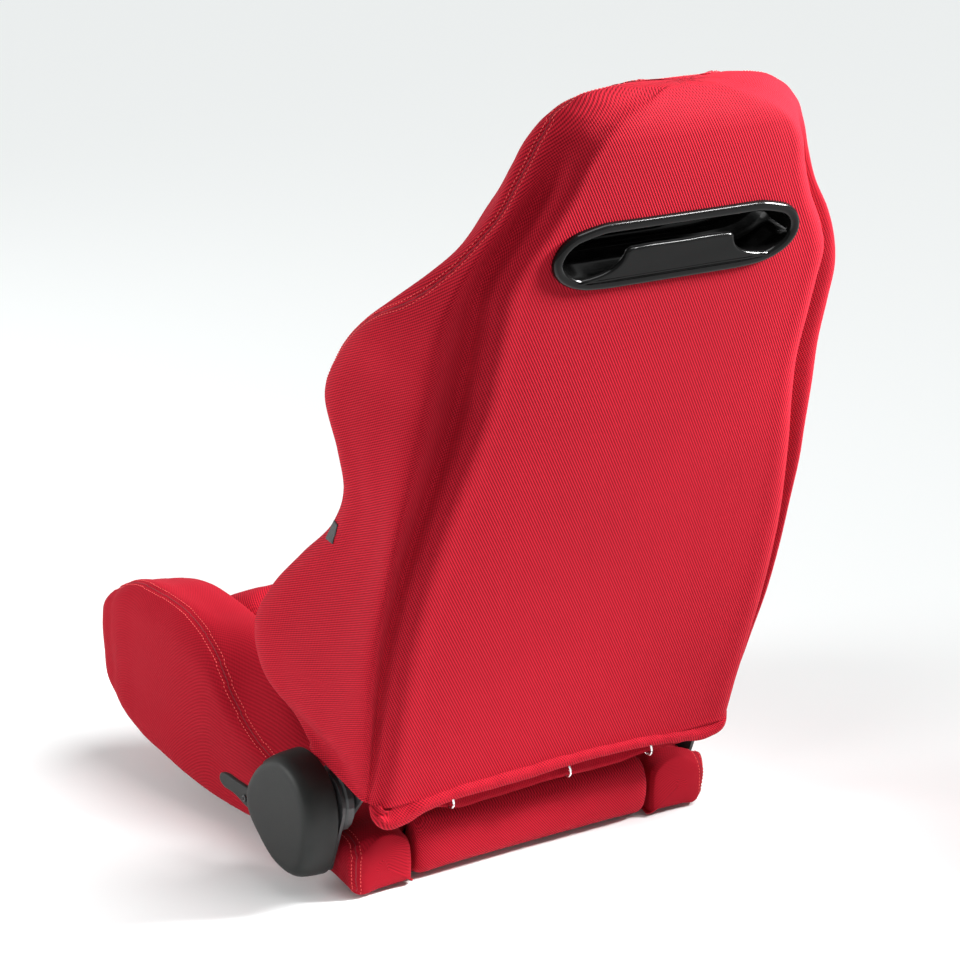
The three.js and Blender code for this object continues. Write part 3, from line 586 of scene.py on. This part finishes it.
def cloth_material(name, light, dark, relief=0.5, plain=0.0):
    """Red twill: two sets of yarns, turned round on the sides, with fuzz, faint patches and painted
    shade between the yarns.
    """
    material, tree, shader = new_material(name)
    weave = add_node(tree, "ShaderNodeAttribute", attribute_name="weave").outputs["Vector"]
    parts = add_node(tree, "ShaderNodeSeparateXYZ", [("Vector", weave)])
    u, v, turned = parts.outputs
    first = rib(tree, u, v, YARN_A)
    second = rib(tree, u, v, YARN_B)
    share_a = spread(tree, turned, 0.42, 0.16)
    share_b = spread(tree, turned, 0.14, 0.36)
    height = maths(tree, "MULTIPLY", first, share_a)
    height = maths(tree, "MULTIPLY_ADD", second, share_b, height)
    height = maths(tree, "ADD", height, 0.5)
    fuzz = noise(tree, 900.0, 2.0)
    yarn = maths(tree, "MULTIPLY_ADD", fuzz, 0.24, height)
    yarn = maths(tree, "SUBTRACT", yarn, 0.12)
    if plain:
        yarn = spread(tree, yarn, 0.5 * plain, 1 - 0.5 * plain)
    # Yarn height sets the colour too: the yarns' own red with painted shade between them; the set that
    # shows most on rear and sides follows the light.
    colour = colour_mix(tree, yarn, dark, light)
    patch = spread(tree, noise(tree, 7.0, 4.0), 0.90, 1.08)
    toned = add_node(tree, "ShaderNodeVectorMath", operation="SCALE")
    tree.links.new(colour, toned.inputs[0])
    tree.links.new(patch, toned.inputs["Scale"])
    tree.links.new(toned.outputs[0], shader.inputs["Base Color"])
    tree.links.new(spread(tree, fuzz, 0.78, 0.95), shader.inputs["Roughness"])
    add_bump(tree, shader, yarn, relief, 0.6 * MM)
    set_inputs(shader, Sheen_Weight=0.10, Sheen_Roughness=0.4, Sheen_Tint=(1.0, 0.16, 0.22, 1))
    set_inputs(shader, Specular_IOR_Level=0.14)
    return material


def surface_material(name, low, high, rough, metal=0.0, grain=1200.0, relief=0.1, **extra):
    """Plastic or metal: a mottled colour, a painted highlight that lightens the edges and a fine grain
    in the gloss.
    """
    material, tree, shader = new_material(name)
    colour = colour_mix(tree, noise(tree, 60.0, 4.0), low, high)
    # Painted highlight: where the surface is pointed, at rounded edges, the colour is lightened as if
    # light caught it.
    edge = add_node(tree, "ShaderNodeNewGeometry").outputs["Pointiness"]
    edge_highlight = add_node(
        tree, "ShaderNodeMapRange",
        [("Value", edge), ("From Min", 0.52), ("From Max", 0.60), ("To Min", 0.0), ("To Max", 0.35)],
    ).outputs["Result"]
    bright = tuple(min(1.0, c * 2.2 + 0.02) for c in high[:3]) + (1,)
    tree.links.new(colour_mix(tree, edge_highlight, colour, bright), shader.inputs["Base Color"])
    speck = noise(tree, grain, 2.0)
    tree.links.new(spread(tree, speck, rough[0], rough[1]), shader.inputs["Roughness"])
    add_bump(tree, shader, speck, relief, 0.4 * MM)
    set_inputs(shader, Metallic=metal, **extra)
    return material


def label_material():
    """A black satin label: fine square weave with no writing."""
    material, tree, shader = new_material("label_weave")
    place = add_node(tree, "ShaderNodeTexCoord").outputs["Object"]
    parts = add_node(tree, "ShaderNodeSeparateXYZ", [("Vector", place)])
    warp = maths(tree, "SINE", maths(tree, "MULTIPLY", parts.outputs["Y"], 9000.0))
    weft = maths(tree, "SINE", maths(tree, "MULTIPLY", parts.outputs["Z"], 7000.0))
    weave = maths(tree, "MULTIPLY_ADD", maths(tree, "MULTIPLY", warp, weft), 0.5, 0.5)
    colour = colour_mix(tree, weave, (0.006, 0.006, 0.007, 1), (0.03, 0.03, 0.032, 1))
    tree.links.new(colour, shader.inputs["Base Color"])
    add_bump(tree, shader, weave, 0.4, 0.3 * MM)
    set_inputs(shader, Roughness=0.6)
    return material


RED_LIGHT = (0.55, 0.008, 0.025, 1)
RED_DARK = (0.11, 0.0, 0.004, 1)
red_cloth = cloth_material("red_twill", RED_LIGHT, RED_DARK)
red_side = cloth_material("red_twill_side", (0.42, 0.005, 0.018, 1), (0.16, 0.0, 0.005, 1), 0.35, 0.35)
# Dark red for the seam cords: painted shade in the seams' grooves.
seam_shade_paint = surface_material(
    "seam_shadow", (0.12, 0.0, 0.006, 1), (0.18, 0.002, 0.01, 1), (0.85, 0.95), relief=0.2
)
thread = surface_material(
    "stitch_thread", (0.48, 0.02, 0.026, 1), (0.60, 0.038, 0.038, 1), (0.6, 0.75), grain=4000.0
)
moulded = surface_material(
    "moulded_plastic", (0.011, 0.012, 0.0115, 1), (0.017, 0.018, 0.017, 1), (0.42, 0.56),
    grain=1500.0, relief=0.22, Specular_IOR_Level=0.2,
)
satin = surface_material(
    "satin_plastic", (0.002, 0.002, 0.002, 1), (0.004, 0.004, 0.004, 1), (0.12, 0.18),
    grain=700.0, relief=0.03, Specular_IOR_Level=0.22,
)
coated = surface_material(
    "powder_coat", (0.012, 0.012, 0.013, 1), (0.022, 0.022, 0.023, 1), (0.36, 0.5),
    grain=500.0, relief=0.3,
)
spring_metal = surface_material(
    "spring_steel", (0.16, 0.16, 0.17, 1), (0.27, 0.27, 0.28, 1), (0.28, 0.45), 0.95,
    grain=300.0,
)
zinc = surface_material(
    "zinc_plate", (0.62, 0.63, 0.65, 1), (0.80, 0.81, 0.82, 1), (0.18, 0.34), 1.0, grain=260.0
)
label = label_material()

# Which material each shown node of the frame gets, by how its name starts.
FINISHES = (
    (coated, (
        "base_pan", "side_member", "front_cross_tube", "rear_cross_tube", "hinge_plate",
        "back_frame_tube", "back_arm", "back_lower_cross_tube", "back_upper_cross_tube",
        "lever_arm", "recliner_disc",
    )),
    (spring_metal, (
        "seat_spring", "lumbar_spring", "recliner_return_spring", "plate_sleeve", "release_shaft",
    )),
    (zinc, ("rail_nut", "plate_bolt", "pivot_bolt", "hog_ring", "lever_screw")),
    (moulded, ("recliner_cover", "lever_grip", "harness_guide")),
    (red_cloth, (
        "cushion_", "back_wing", "back_centre_pad", "headrest_pad", "rear_cover", "rear_hem",
    )),
    (label, ("wing_tag",)),
)
for finish, starts in FINISHES:
    for node, piece in frame["nodes"].items():
        if node.startswith(starts):
            piece.data.materials.clear()
            piece.data.materials.append(finish)


def dress(piece, material, slot, body, *nodes):
    """Gives a new piece its material and body, and hides the CAD nodes it stands for; the slot is not
    used.
    """
    piece.data.materials.clear()
    piece.data.materials.append(material)
    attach(piece, body)
    if nodes:
        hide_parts(*nodes)
    return piece


# ---- backrest shell

def ramp(place, ends):
    """From 0 at one end to 1 at the other, level beyond them."""
    return np.clip((place - ends[0]) / (ends[1] - ends[0]), 0, 1)


def tip_point(wide, front, roll, degrees):
    """A point of the wing's rolled front edge, from its side (0) round to its front (90)."""
    angle = math.radians(degrees)
    return (
        wide - 0.82 * roll + roll * math.cos(angle),
        front + 0.57 * roll - roll * math.sin(angle),
    )


def section_controls(s):
    """The half section's feature points (x, t) at height s, rear middle to front middle."""
    wide, front, rear, roll, *shoulder = (smooth_column(WING, s, c) for c in range(1, 7))
    face, back = (smooth_column(HEAD_FACES, s, c) for c in (1, 2))
    seat = np.interp(s, *np.array(SEAT_SIDE, float).T)
    head = ramp(s, HEAD_TURN)
    head = head * head * (3 - 2 * head)
    outer = tip_point(wide, front, roll, -30)
    edge = min(PANEL_EDGE, 0.35 * (back - face))
    deep = CREASE["depth"] * ramp(s, CREASE["rise"]) * (1 - ramp(s, CREASE["fall"]))
    fade = ramp(s, VALLEY_END)
    bend = (
        rear + 2 + 0.5 * fade * (shoulder[0] - rear),
        shoulder[1] - deep + (0.06 + 0.44 * fade) * (back - edge - shoulder[1]),
    )

    def side(across, down):
        return tuple(a + (b - a) * u for a, b, u in zip(shoulder, outer, (across, down)))

    tip135 = tip_point(wide, front, roll, 135)
    wing = [
        tip_point(wide, front, roll, 90), tip135,
        ((BACK_SPLIT + tip135[0]) / 2, min((seat + tip135[1]) / 2 + 7, seat + 4)),
        (BACK_SPLIT + 3, seat + 1), (BACK_SPLIT - 7, seat + 13), (70, seat + 14), (0, seat + 14),
    ]
    crown = [
        (wide - 20, face + 0.42 * (front - face)), (wide - 32, face + 5), (wide - 46, face + 1),
        (0.60 * wide, face - 0.5), (0.45 * wide, face - 1), (0.22 * wide, face - 1.5),
        (0, face - 1.5),
    ]
    mixed = [tuple(a + (b - a) * head for a, b in zip(w, c)) for w, c in zip(wing, crown)]
    return np.array([
        (0, back + 1.4), (0.45 * rear, back + 1.1), (0.82 * rear, back - 0.2),
        (rear - 11, back - 1.8), (rear - 0.5, back - edge), bend, tuple(shoulder),
        side(0.62, 0.45), side(0.92, 0.8), tip_point(wide, front, roll, 0),
        tip_point(wide, front, roll, 45), *mixed,
    ])


def half_section(s):
    """The half section at height s as a fine line."""
    control = section_controls(s)
    mirrored = control * (-1, 1)
    whole = np.vstack([mirrored[1:3][::-1], control, mirrored[-3:-1][::-1]])
    knots = run_along(whole, 0.75)
    places = [
        np.linspace(knots[i + 2], knots[i + 3], n, endpoint=False) for i, n in enumerate(SPANS)
    ]
    at = np.r_[np.concatenate(places), knots[2 + len(SPANS)]]
    line = smooth(knots, whole, at)
    line[0, 0] = line[-1, 0] = 0
    return line


HALF = sum(SPANS) + 1
SIDE_FROM = sum(SPANS[:4])
SIDE_TO = sum(SPANS[:6])


def full_section(line):
    """Both halves of a line that starts and ends on the middle, as one closed loop."""
    return np.vstack([line, (line * (-1, 1))[1:-1][::-1]])


def section_weave(line, s):
    run = run_along(line)
    turned = np.clip((np.arange(HALF) - SIDE_FROM) / (SIDE_TO - SIDE_FROM), 0, 1)
    half = np.stack([run, np.full(HALF, s), turned], axis=1)
    other = half * (-1, 1, 1)
    return np.vstack([half, other[1:-1][::-1]])


def outward(loop):
    """Outward unit normals of a closed loop, whichever way it runs."""
    ahead = np.roll(loop, -1, axis=0) - np.roll(loop, 1, axis=0)
    normal = np.stack([ahead[:, 1], -ahead[:, 0]], axis=1)
    normal /= np.maximum(np.linalg.norm(normal, axis=1), 1e-9)[:, None]
    area = np.sum(loop[:, 0] * np.roll(loop[:, 1], -1) - np.roll(loop[:, 0], -1) * loop[:, 1])
    return normal if area > 0 else -normal


def guide_loop(inset):
    """The harness guide's outline (x, s), drawn in by an inset."""
    loop = loop_through(full_section(np.array(GUIDE_OUTLINE, float)), GUIDE_SIDES)
    return loop - outward(loop) * inset


def back_shell():
    """The cloth cover of the wings, the rear panel and the head, open to the seat below."""
    heights = np.r_[np.linspace(44, 780, 190), np.linspace(780, 828, 26)[1:]]
    rows, weaves = [], []
    first = half_section(heights[0])
    loop = full_section(first)
    normal = outward(loop)
    weave = section_weave(first, heights[0])
    lip = [(60, -7), (50, -6.5), (42, -5), (38.6, -2.6), (38, -0.6), (38.8, 0.8), (41, 1.0)]
    for s, out in lip:
        turned = loop + normal * out
        rows.append(back_point(turned[:, 0], turned[:, 1], s))
        weaves.append(weave + (0, s - heights[0], 0))
    for s in heights:
        line = half_section(s)
        section = full_section(line)
        rows.append(back_point(section[:, 0], section[:, 1], s))
        weaves.append(section_weave(line, s))
    middle = np.array([0, 36.5])
    for s, size in [(829.0, 0.86), (829.7, 0.66), (830.1, 0.42), (830.3, 0.16)]:
        shrunk = middle + (section - middle) * (size, min(1.0, size + 0.05))
        rows.append(back_point(shrunk[:, 0], shrunk[:, 1], s))
        weaves.append(section_weave(line, s))
    return loft_piece("back_upholstery", rows, weaves)


def cut_slot(piece, inset, t_from, t_to):
    """Cuts the harness slot's outline through a piece."""
    loop = guide_loop(inset)
    rows = [back_point(loop[:, 0], t, loop[:, 1]) for t in (t_from, t_to)]
    cut_away(piece, loft_piece("slot_cutter", rows))


shell = back_shell()
seam_left = path_through(back_point(*np.array(BACK_SEAM, float).T), 2 * MM)
shell_surface = surface_of(shell)
seam_right = lay_on(shell_surface, seam_left * (-1, 1, 1))[0]
seam_left = lay_on(shell_surface, seam_left)[0]
seam_whole = np.vstack([seam_right[::-1], seam_left[1:]])
press_line(shell, seam_whole, 1.6 * MM, 4.5 * MM)
carried = carry_weave(shell)
cut_slot(shell, 7, -60, 110)
carried(shell)
dress(
    shell, red_cloth, "red_cloth", "backrest",
    "back_wing_left", "back_wing_right", "headrest_pad", "rear_cover",
)
shell_surface = surface_of(shell)
# A dark cord along the backrest seam, painted as the shade in its groove.
painted_seam_shade("back_seam", shell_surface, seam_whole, 0.8 * MM, "backrest", seam_shade_paint)
beside_seam = (-3.6 * MM, 3.6 * MM)
stitches("back_seam_stitches", shell_surface, seam_whole, beside_seam, "backrest", thread)

# ---- backrest centre cushion

def back_centre():
    """The pad between the wings, before it is filled."""
    top = GUIDE_OUTLINE[0][1] - 6
    bottom = 47
    s = np.linspace(bottom, top, 60)
    rear = np.column_stack([np.full(20, 11.0), np.linspace(top, bottom, 20)])
    seat = smooth(*np.array(SEAT_SIDE, float).T, s)[:, 0]
    ends = 10 * ((1 - ramp(s, (bottom, 62))) ** 2 + ramp(s, (top - 15, top)) ** 2)
    rows = []
    for x in np.linspace(-148, 148, 41):
        front = seat + 3 + 9 * (abs(x) / 148) ** 6 + ends
        loop = np.vstack([np.column_stack([front, s]), rear])
        rows.append(back_point(x, loop[:, 0], loop[:, 1]))
    return loft_piece("back_centre_cushion", rows)


BACK_CHANNELS = (150, 255, 360, 465, 560)
centre = inflate(back_centre(), 6 * MM, 9 * MM)
for s in BACK_CHANNELS:
    line = back_point(np.linspace(-150, 150, 160), -36, s)
    press_line(centre, lay_on(surface_of(centre), line)[0], 4.5 * MM, 7 * MM)
box_weave(centre)
dress(centre, red_cloth, "red_cloth", "backrest", "back_centre_pad")
centre_surface = surface_of(centre)
for number, s in enumerate(BACK_CHANNELS, 1):
    line = back_point(np.linspace(-142, 142, 100), -60, s)
    stitches(f"back_channel_{number}", centre_surface, line, (0.0,), "backrest", thread)

# ---- hem, lining, hog rings

def rear_hem():
    """The rolled hem under the rear panel, faintly rippled."""
    table = path_through(HEM, 3.0)
    ripple = 0.7 * np.sin(table[:, 0] / 9.0) + 0.5 * np.sin(table[:, 0] / 4.1 + 1)
    path = back_point(table[:, 0], table[:, 1] + 0.25 * ripple, table[:, 2] + 0.5 * ripple)
    section = loop_through(HEM_SECTION, 28)
    up = back_point(0, 0, 1) - back_point(0, 0, 0)
    piece = swept_piece("rear_hem_roll", path, section * (-MM, MM), up / MM, table[:, 3])
    run = run_along(section)
    set_weave(piece, [(x, s + r, 0.2) for x, s in table[:, (0, 2)] for r in run])
    return piece


def lining():
    """The front cover's lower edge, folded under and drawn back to the hem by the rings."""
    edge = path_through(LINING, 3.0)
    x, t, s = edge.T
    pucker = sum(np.exp(-(((x - ring) / 11) ** 2)) for ring in RING_X.values())
    wave = (1 - pucker) * (0.9 * np.sin(x / 6.5) + 0.6 * np.sin(x / 3.1 + 2))
    s = s + wave * 0.5
    profile = [
        (-24, 30), (-14, 22), (-6, 12), (-1, 4), (1.5, 0.2), (0.2, -1.2), (-3, 1.2), (-10, 9),
        (-20, 18), (-30, 26),
    ]
    rows = [
        back_point(x * (1 + 0.0006 * dt), t + dt + 0.3 * wave, s + ds * (1 - 0.25 * pucker))
        for dt, ds in profile
    ]
    faces = grid_faces(len(profile), len(x))
    weave = [(across, 6 * k, 0.3) for k in range(len(profile)) for across in x]
    return mesh_piece("front_cover_lining", np.vstack(rows), faces, weave)


hem = dress(rear_hem(), red_cloth, "red_cloth", "backrest", "rear_hem")
flap = dress(lining(), red_side, "red_cloth", "backrest")

turn = np.linspace(0, 2 * math.pi, 40, endpoint=False)
for place, x in RING_X.items():
    wire = back_point(
        x + 1.5 * np.sin(turn), 76 + 9.0 * np.cos(turn), RING_S + 7.5 + 9.5 * np.sin(turn)
    )
    ring = swept_piece(
        f"hog_ring_{place}_wire", wire, circle_section(1.25 * MM, 12), (1, 0.01, 0.01)
    )
    dress(ring, zinc, "bright_steel", "backrest", f"hog_ring_{place}")

# ---- harness guides

def guide_piece(name, face, outwards, depth_share):
    """A moulded frame round the slot, with its foot on a face t and its crest outwards."""
    last_inset, last_rise = GUIDE_RIM[-1]
    back = last_inset - GUIDE_WALL["thick"]
    section = [(inset, rise if rise > 0 else rise * depth_share) for inset, rise in GUIDE_RIM]
    section += [(back, last_rise * depth_share), (back, GUIDE_WALL["under"])]
    rows = []
    for inset, rise in section:
        loop = guide_loop(inset)
        rows.append(back_point(loop[:, 0], face + outwards * rise, loop[:, 1]))
    rows = np.array(rows)
    count = rows.shape[1]
    faces = tube_faces(len(rows), count, capped=False)
    last = (len(rows) - 1) * count
    faces += [(last + i, last + (i + 1) % count, (i + 1) % count, i) for i in range(count)]
    return mesh_piece(name, rows.reshape(-1, 3), faces)


def guide_plate(name, face, outwards):
    """The flat plate that stands in the slot's lower middle."""
    loop = full_section(path_through(GUIDE_PLATE, 2.0))
    normal = outward(loop)
    rows = []
    for out, rise in ((0, 1.6), (0, 3.6), (-0.6, 5.0), (-1.6, 6.0), (-3.0, 6.5), (-4.2, 6.4)):
        ring = loop + normal * out
        rows.append(back_point(ring[:, 0], face + outwards * rise, ring[:, 1]))
    return loft_piece(name, rows)


# Each guide's face t, the way it looks, and its depth as a share of the rear one's.
for place, face, outwards, depth_share in (("rear", 77.6, 1, 1.0), ("front", -22.4, -1, 0.9)):
    rim = guide_piece(f"harness_guide_{place}_frame", face, outwards, depth_share)
    dress(rim, satin, "satin_black_plastic", "backrest", f"harness_guide_{place}")
    plate = guide_plate(f"harness_guide_{place}_plate", face, outwards)
    dress(plate, satin, "satin_black_plastic", "backrest")

# ---- cushion bolsters

def bolster_controls(row):
    """The points (x, z) round a bolster, over the side member's notch while that lasts."""
    y, ridge, edge, wide, low, inner = row
    notch_x = max(205.0 if y < FRAME_END else 0.0, inner + 4)
    notch_z = max(46.5 if y < FRAME_END else 0.0, low + 3)
    return np.array([
        (inner, notch_z), (inner, notch_z + (ridge - notch_z) * 0.55),
        (inner + 0.05 * (wide - inner), ridge - 13), (inner + 0.24 * (wide - inner), ridge - 3.5),
        ((inner + wide) / 2, ridge), (inner + 0.8 * (wide - inner), edge + 0.5),
        (wide - 4, edge - 0.1 * (edge - low)), (wide, edge - 0.3 * (edge - low)),
        (wide - 1, edge - 0.65 * (edge - low)), (wide - 5, low + 5),
        (wide - 13, low), (210.0, low + 1.5), (notch_x, notch_z),
    ])


def bolster(name, sign, limit):
    table = np.array(BOLSTER, float)
    ys = table[:, 0]
    passes = (ys > BESIDE_PLATE[0]) & (ys < BESIDE_PLATE[1])
    table[passes, 3] = np.minimum(table[passes, 3], limit)
    controls = np.array([bolster_controls(row) for row in table])
    at = np.r_[
        np.linspace(-294, -240, 24), np.linspace(-240, 226, 130)[1:], np.linspace(226, 234, 8)[1:],
    ]
    beside, behind = ys < FRAME_END, ys > FRAME_END
    rings = np.vstack([
        smooth(ys[part], controls[part].reshape(part.sum(), -1), at[places])
        for part, places in ((beside, at < FRAME_END), (behind, at >= FRAME_END))
    ]).reshape(len(at), -1, 2)
    knots = loop_knots(controls[len(ys) // 2])
    rows, weaves = [], []

    def add(ring, y, size):
        middle = ring.mean(axis=0)
        own = loop_knots(ring)
        shared = own + (knots * (own[-1] / knots[-1]) - own) * ramp(y, SHARED_FROM)
        loop = middle + (loop_through(ring, BOLSTER_SIDES, shared) - middle) * size
        depth = np.full(BOLSTER_SIDES, y)
        rows.append(np.stack([sign * loop[:, 0], depth, loop[:, 1]], axis=1) * MM)
        weaves.append(np.stack([sign * run_along(loop), depth, 0 * depth + 0.8], axis=1))

    front_cap = [(-3.2, 0.25), (-3.0, 0.5), (-2.4, 0.72), (-1.5, 0.88), (-0.6, 0.96)]
    rear_cap = [(0.5, 0.97), (1.3, 0.9), (2.0, 0.76), (2.4, 0.5), (2.5, 0.22)]
    for dy, size in front_cap:
        add(rings[0], at[0] + dy, size)
    for y, ring in zip(at, rings):
        add(ring, y, 1.0)
    for dy, size in rear_cap:
        add(rings[-1], at[-1] + dy, size)
    return loft_piece(name, rows, weaves)


for side, sign in (("left", 1), ("right", -1)):
    piece = bolster(f"thigh_bolster_{side}", sign, PLATE_LIMIT[side])
    seam = path_through(np.array(BOLSTER_SEAM, float) * (sign, 1, 1) * MM, 2 * MM)
    seam = lay_on(surface_of(piece), seam)[0]
    press_line(piece, seam, 1.8 * MM, 4.5 * MM)
    dress(piece, red_side, "red_cloth", "base", f"cushion_bolster_{side}")
    surface = surface_of(piece)
    # A dark cord along the bolster seam, painted as the shade in its groove.
    painted_seam_shade(f"thigh_seam_{side}", surface, seam, 0.8 * MM, "base", seam_shade_paint)
    stitches(f"thigh_seam_stitches_{side}", surface, seam, (-5 * MM, 5 * MM), "base", thread)

# ---- seat cushion and rear roll

def cushion_centre():
    """The pad between the bolsters, before it is filled: its top falls a little to the sides."""
    rows = []
    profile = loop_through(CUSHION_PROFILE, 110)
    middle = profile.mean(axis=0)
    top = ramp(profile[:, 1], (100, 160))
    for u in np.linspace(-1, 1, 41):
        loop = middle + (profile - middle) * (1 - 0.05 * abs(u) ** 8)
        loop[:, 1] -= 5 * abs(u) ** 5 * top
        rows.append(side_ring(147 * u, loop))
    return loft_piece("seat_cushion", rows)


def cushion_line(half, y, z, count):
    """A straight line across the cushion."""
    x = np.linspace(-half, half, count)
    return np.stack([x, 0 * x + y, 0 * x + z], axis=1) * MM


cushion = inflate(cushion_centre(), 6 * MM, 7 * MM)
SEAT_CHANNELS = (-130, -10)
for y in SEAT_CHANNELS:
    line = cushion_line(150, y, 170, 160)
    press_line(cushion, lay_on(surface_of(cushion), line)[0], 4.5 * MM, 7 * MM)
box_weave(cushion)
dress(cushion, red_cloth, "red_cloth", "base", "cushion_centre_pad")
cushion_surface = surface_of(cushion)
for number, y in enumerate(SEAT_CHANNELS, 1):
    line = cushion_line(140, y, 190, 100)
    stitches(f"seat_channel_{number}", cushion_surface, line, (0.0,), "base", thread)


def rear_roll():
    rows = []
    profile = loop_through(ROLL_PROFILE, 60)
    middle = np.array([221.0, 36.0])
    for x in np.linspace(-157, 157, 61):
        loop = middle + (profile - middle) * (1 - 0.2 * ramp(abs(x), (143, 157)) ** 3)
        rows.append(side_ring(x, loop))
    return loft_piece("seat_rear_roll", rows)


roll = inflate(rear_roll(), 4 * MM, 2.0 * MM)
box_weave(roll, 0.2)
dress(roll, red_cloth, "red_cloth", "base", "cushion_rear_roll")

# ---- recliner cover and lever

def recliner_cover():
    """The moulded cover as a shell: from the middle of its hollow over the rim to its face."""
    outline = loop_through(COVER_OUTLINE, 120)
    middle = np.array(COVER_MIDDLE, float)
    hollow = [(0.9, 0.1), (0.9, 0.5), (0.85, 0.72), (0.6, 0.9), (0.3, 0.955), (0.0, 0.965)]
    rows = []
    for depth, size in hollow + COVER_STEPS:
        x = COVER_X[0] + depth * (COVER_X[1] - COVER_X[0])
        loop = middle + (outline - middle) * size
        rows.append(side_ring(x, loop))
    return loft_piece("recliner_cover_shell", rows)


def cut_box(piece, low, high):
    """Cuts the box between two corners out of a piece."""
    (x0, y0, z0), (x1, y1, z1) = low, high
    ends = [[(x0, y, z0), (x1, y, z0), (x1, y, z1), (x0, y, z1)] for y in (y0, y1)]
    cut_away(piece, loft_piece("box_cutter", np.array(ends) * MM))


def rounded_plate(name, outline, x0, x1, rim, count):
    """A plate across X with rounded edges."""
    loop = loop_through(outline, count)
    normal = outward(loop)
    rows = []
    steps = [(x0, -rim), (x0 + 0.3 * rim, -0.3 * rim), (x0 + rim, 0), (x1 - rim, 0)]
    steps += [(x1 - 0.3 * rim, -0.3 * rim), (x1, -rim), (x1, -2.2 * rim)]
    for x, out in steps:
        rows.append(side_ring(x, loop + normal * out))
    return loft_piece(name, rows)


cover = recliner_cover()
cut_box(cover, (269.5, 70, 62), (285, 140, 134))
dress(cover, moulded, "matt_black_plastic", "base", "recliner_cover")

grip = rounded_plate("lever_grip_moulding", LEVER_GRIP, *LEVER_X, 1.4, 96)
dress(grip, moulded, "matt_black_plastic", "recline_lever", "lever_grip")


def lever_screw():
    """A pan-head screw with a hexagon socket."""
    profile = [
        (-8, 2.0), (0, 2.0), (0.02, 4.0), (1.2, 4.0), (1.9, 3.6), (2.3, 2.9), (2.35, 2.2),
        (1.0, 2.1), (0.9, 0.4),
    ]
    socket = (2.35, 1.0)
    turn = np.linspace(0, 2 * math.pi, 24, endpoint=False)
    hexagon = math.cos(math.pi / 6) / np.cos((turn % (math.pi / 3)) - math.pi / 6)
    rows = []
    for rise, radius in profile:
        reach = radius * (hexagon if rise in socket else np.ones(24))
        loop = np.column_stack([reach * np.cos(turn), reach * np.sin(turn)])
        rows.append(side_ring(SCREW["x"] + rise, loop + (SCREW["y"], SCREW["z"])))
    return loft_piece("lever_screw_socket_head", rows)


dress(lever_screw(), coated, "bright_steel", "recline_lever", "lever_screw")

# ---- woven tag

def woven_tag():
    """A blank label folded over the seam of the left wing's waist, two layers of 9 by 9 points."""
    rows = []
    across = TAG["t"] + np.linspace(-0.5, 0.5, 9) * TAG["width"]
    for lift in (0.1, 0.9):
        for s in TAG["s"] + np.linspace(-0.5, 0.5, 9) * TAG["height"]:
            row = back_point(TAG["x"] + 10, across, s)
            rows.append(lay_on(shell_surface, row, lift * MM)[0])
    faces = grid_faces(9, 9) + grid_faces(9, 9, 81)
    border = [*range(9), *range(17, 81, 9), *range(79, 71, -1), *range(63, 0, -9)]
    for a, b in zip(border, border[1:] + border[:1]):
        faces.append((a, b, b + 81, a + 81))
    return mesh_piece("blank_woven_tag", np.vstack(rows), faces)


dress(woven_tag(), label, "woven_tag", "backrest", "wing_tag")

# ---- floor, light and camera

corners = [(x, y, -0.6 * MM) for x, y in ((-9, -9), (9, -9), (9, 9), (-9, 9))]
floor = mesh_piece("floor", corners, [(0, 1, 2, 3)])
pale_floor, _, shader = new_material("pale_floor")
set_inputs(shader, Base_Color=(0.93, 0.95, 0.95, 1), Roughness=0.9)
floor.data.materials.append(pale_floor)

world = bpy.data.worlds.new("studio")
bpy.context.scene.world = world
world.use_nodes = True
background = world.node_tree.nodes["Background"]
background.inputs["Color"].default_value = (0.97, 1.0, 0.99, 1)
background.inputs["Strength"].default_value = 0.25
bpy.context.scene.view_settings.view_transform = "Standard"


def point_at(thing, place, aim):
    thing.location = place
    thing.rotation_euler = (Vector(aim) - Vector(place)).to_track_quat("-Z", "Y").to_euler()


def add_light(name, kind, power, place, aim, **settings):
    """A lamp at a place in metres, pointed at another."""
    lamp = bpy.data.lights.new(name, kind)
    lamp.energy = power
    for key, value in settings.items():
        setattr(lamp, key, value)
    point_at(new_object(name, lamp), place, aim)


def spot(degrees, radius):
    return {"spot_size": math.radians(degrees), "spot_blend": 0.6, "shadow_soft_size": radius}


HEAD = (0.0, 0.42, 0.80)
GUIDE = (0.0, 0.45, 0.74)
ROLL = (0.0, 0.25, -0.02)
MIDDLE = (0.0, 0.25, 0.5)
LEFT_SIDE = (0.1, 0.2, 0.4)
soft_sun = math.radians(40)
add_light("overhead_light", "SUN", 2.35, (-0.34, 0.35, 1.0), (0, 0, 0), angle=soft_sun)
add_light("key_upper_right", "SPOT", 640, (-1.7, 1.25, 1.55), HEAD, **spot(44, 0.25))
add_light("low_rear_fill", "SPOT", 60, (-0.5, 2.5, 0.30), ROLL, **spot(12, 0.25))
add_light("left_front_fill", "AREA", 52, (2.3, -1.2, 0.95), LEFT_SIDE, shape="DISK", size=1.2)
add_light("front_fill", "AREA", 8, (0.8, -2.8, 1.6), MIDDLE, shape="DISK", size=1.6)
add_light("rim_light", "SPOT", 90, (-1.33, 1.41, 2.17), GUIDE, **spot(20, 0.14))

lens = bpy.data.cameras.new("camera")
lens.lens = CAMERA["lens"]
lens.sensor_width = 36
lens.clip_end = 50
camera = new_object("camera", lens)
point_at(camera, Vector(CAMERA["at"]) * MM, Vector(CAMERA["aim"]) * MM)
bpy.context.scene.camera = camera
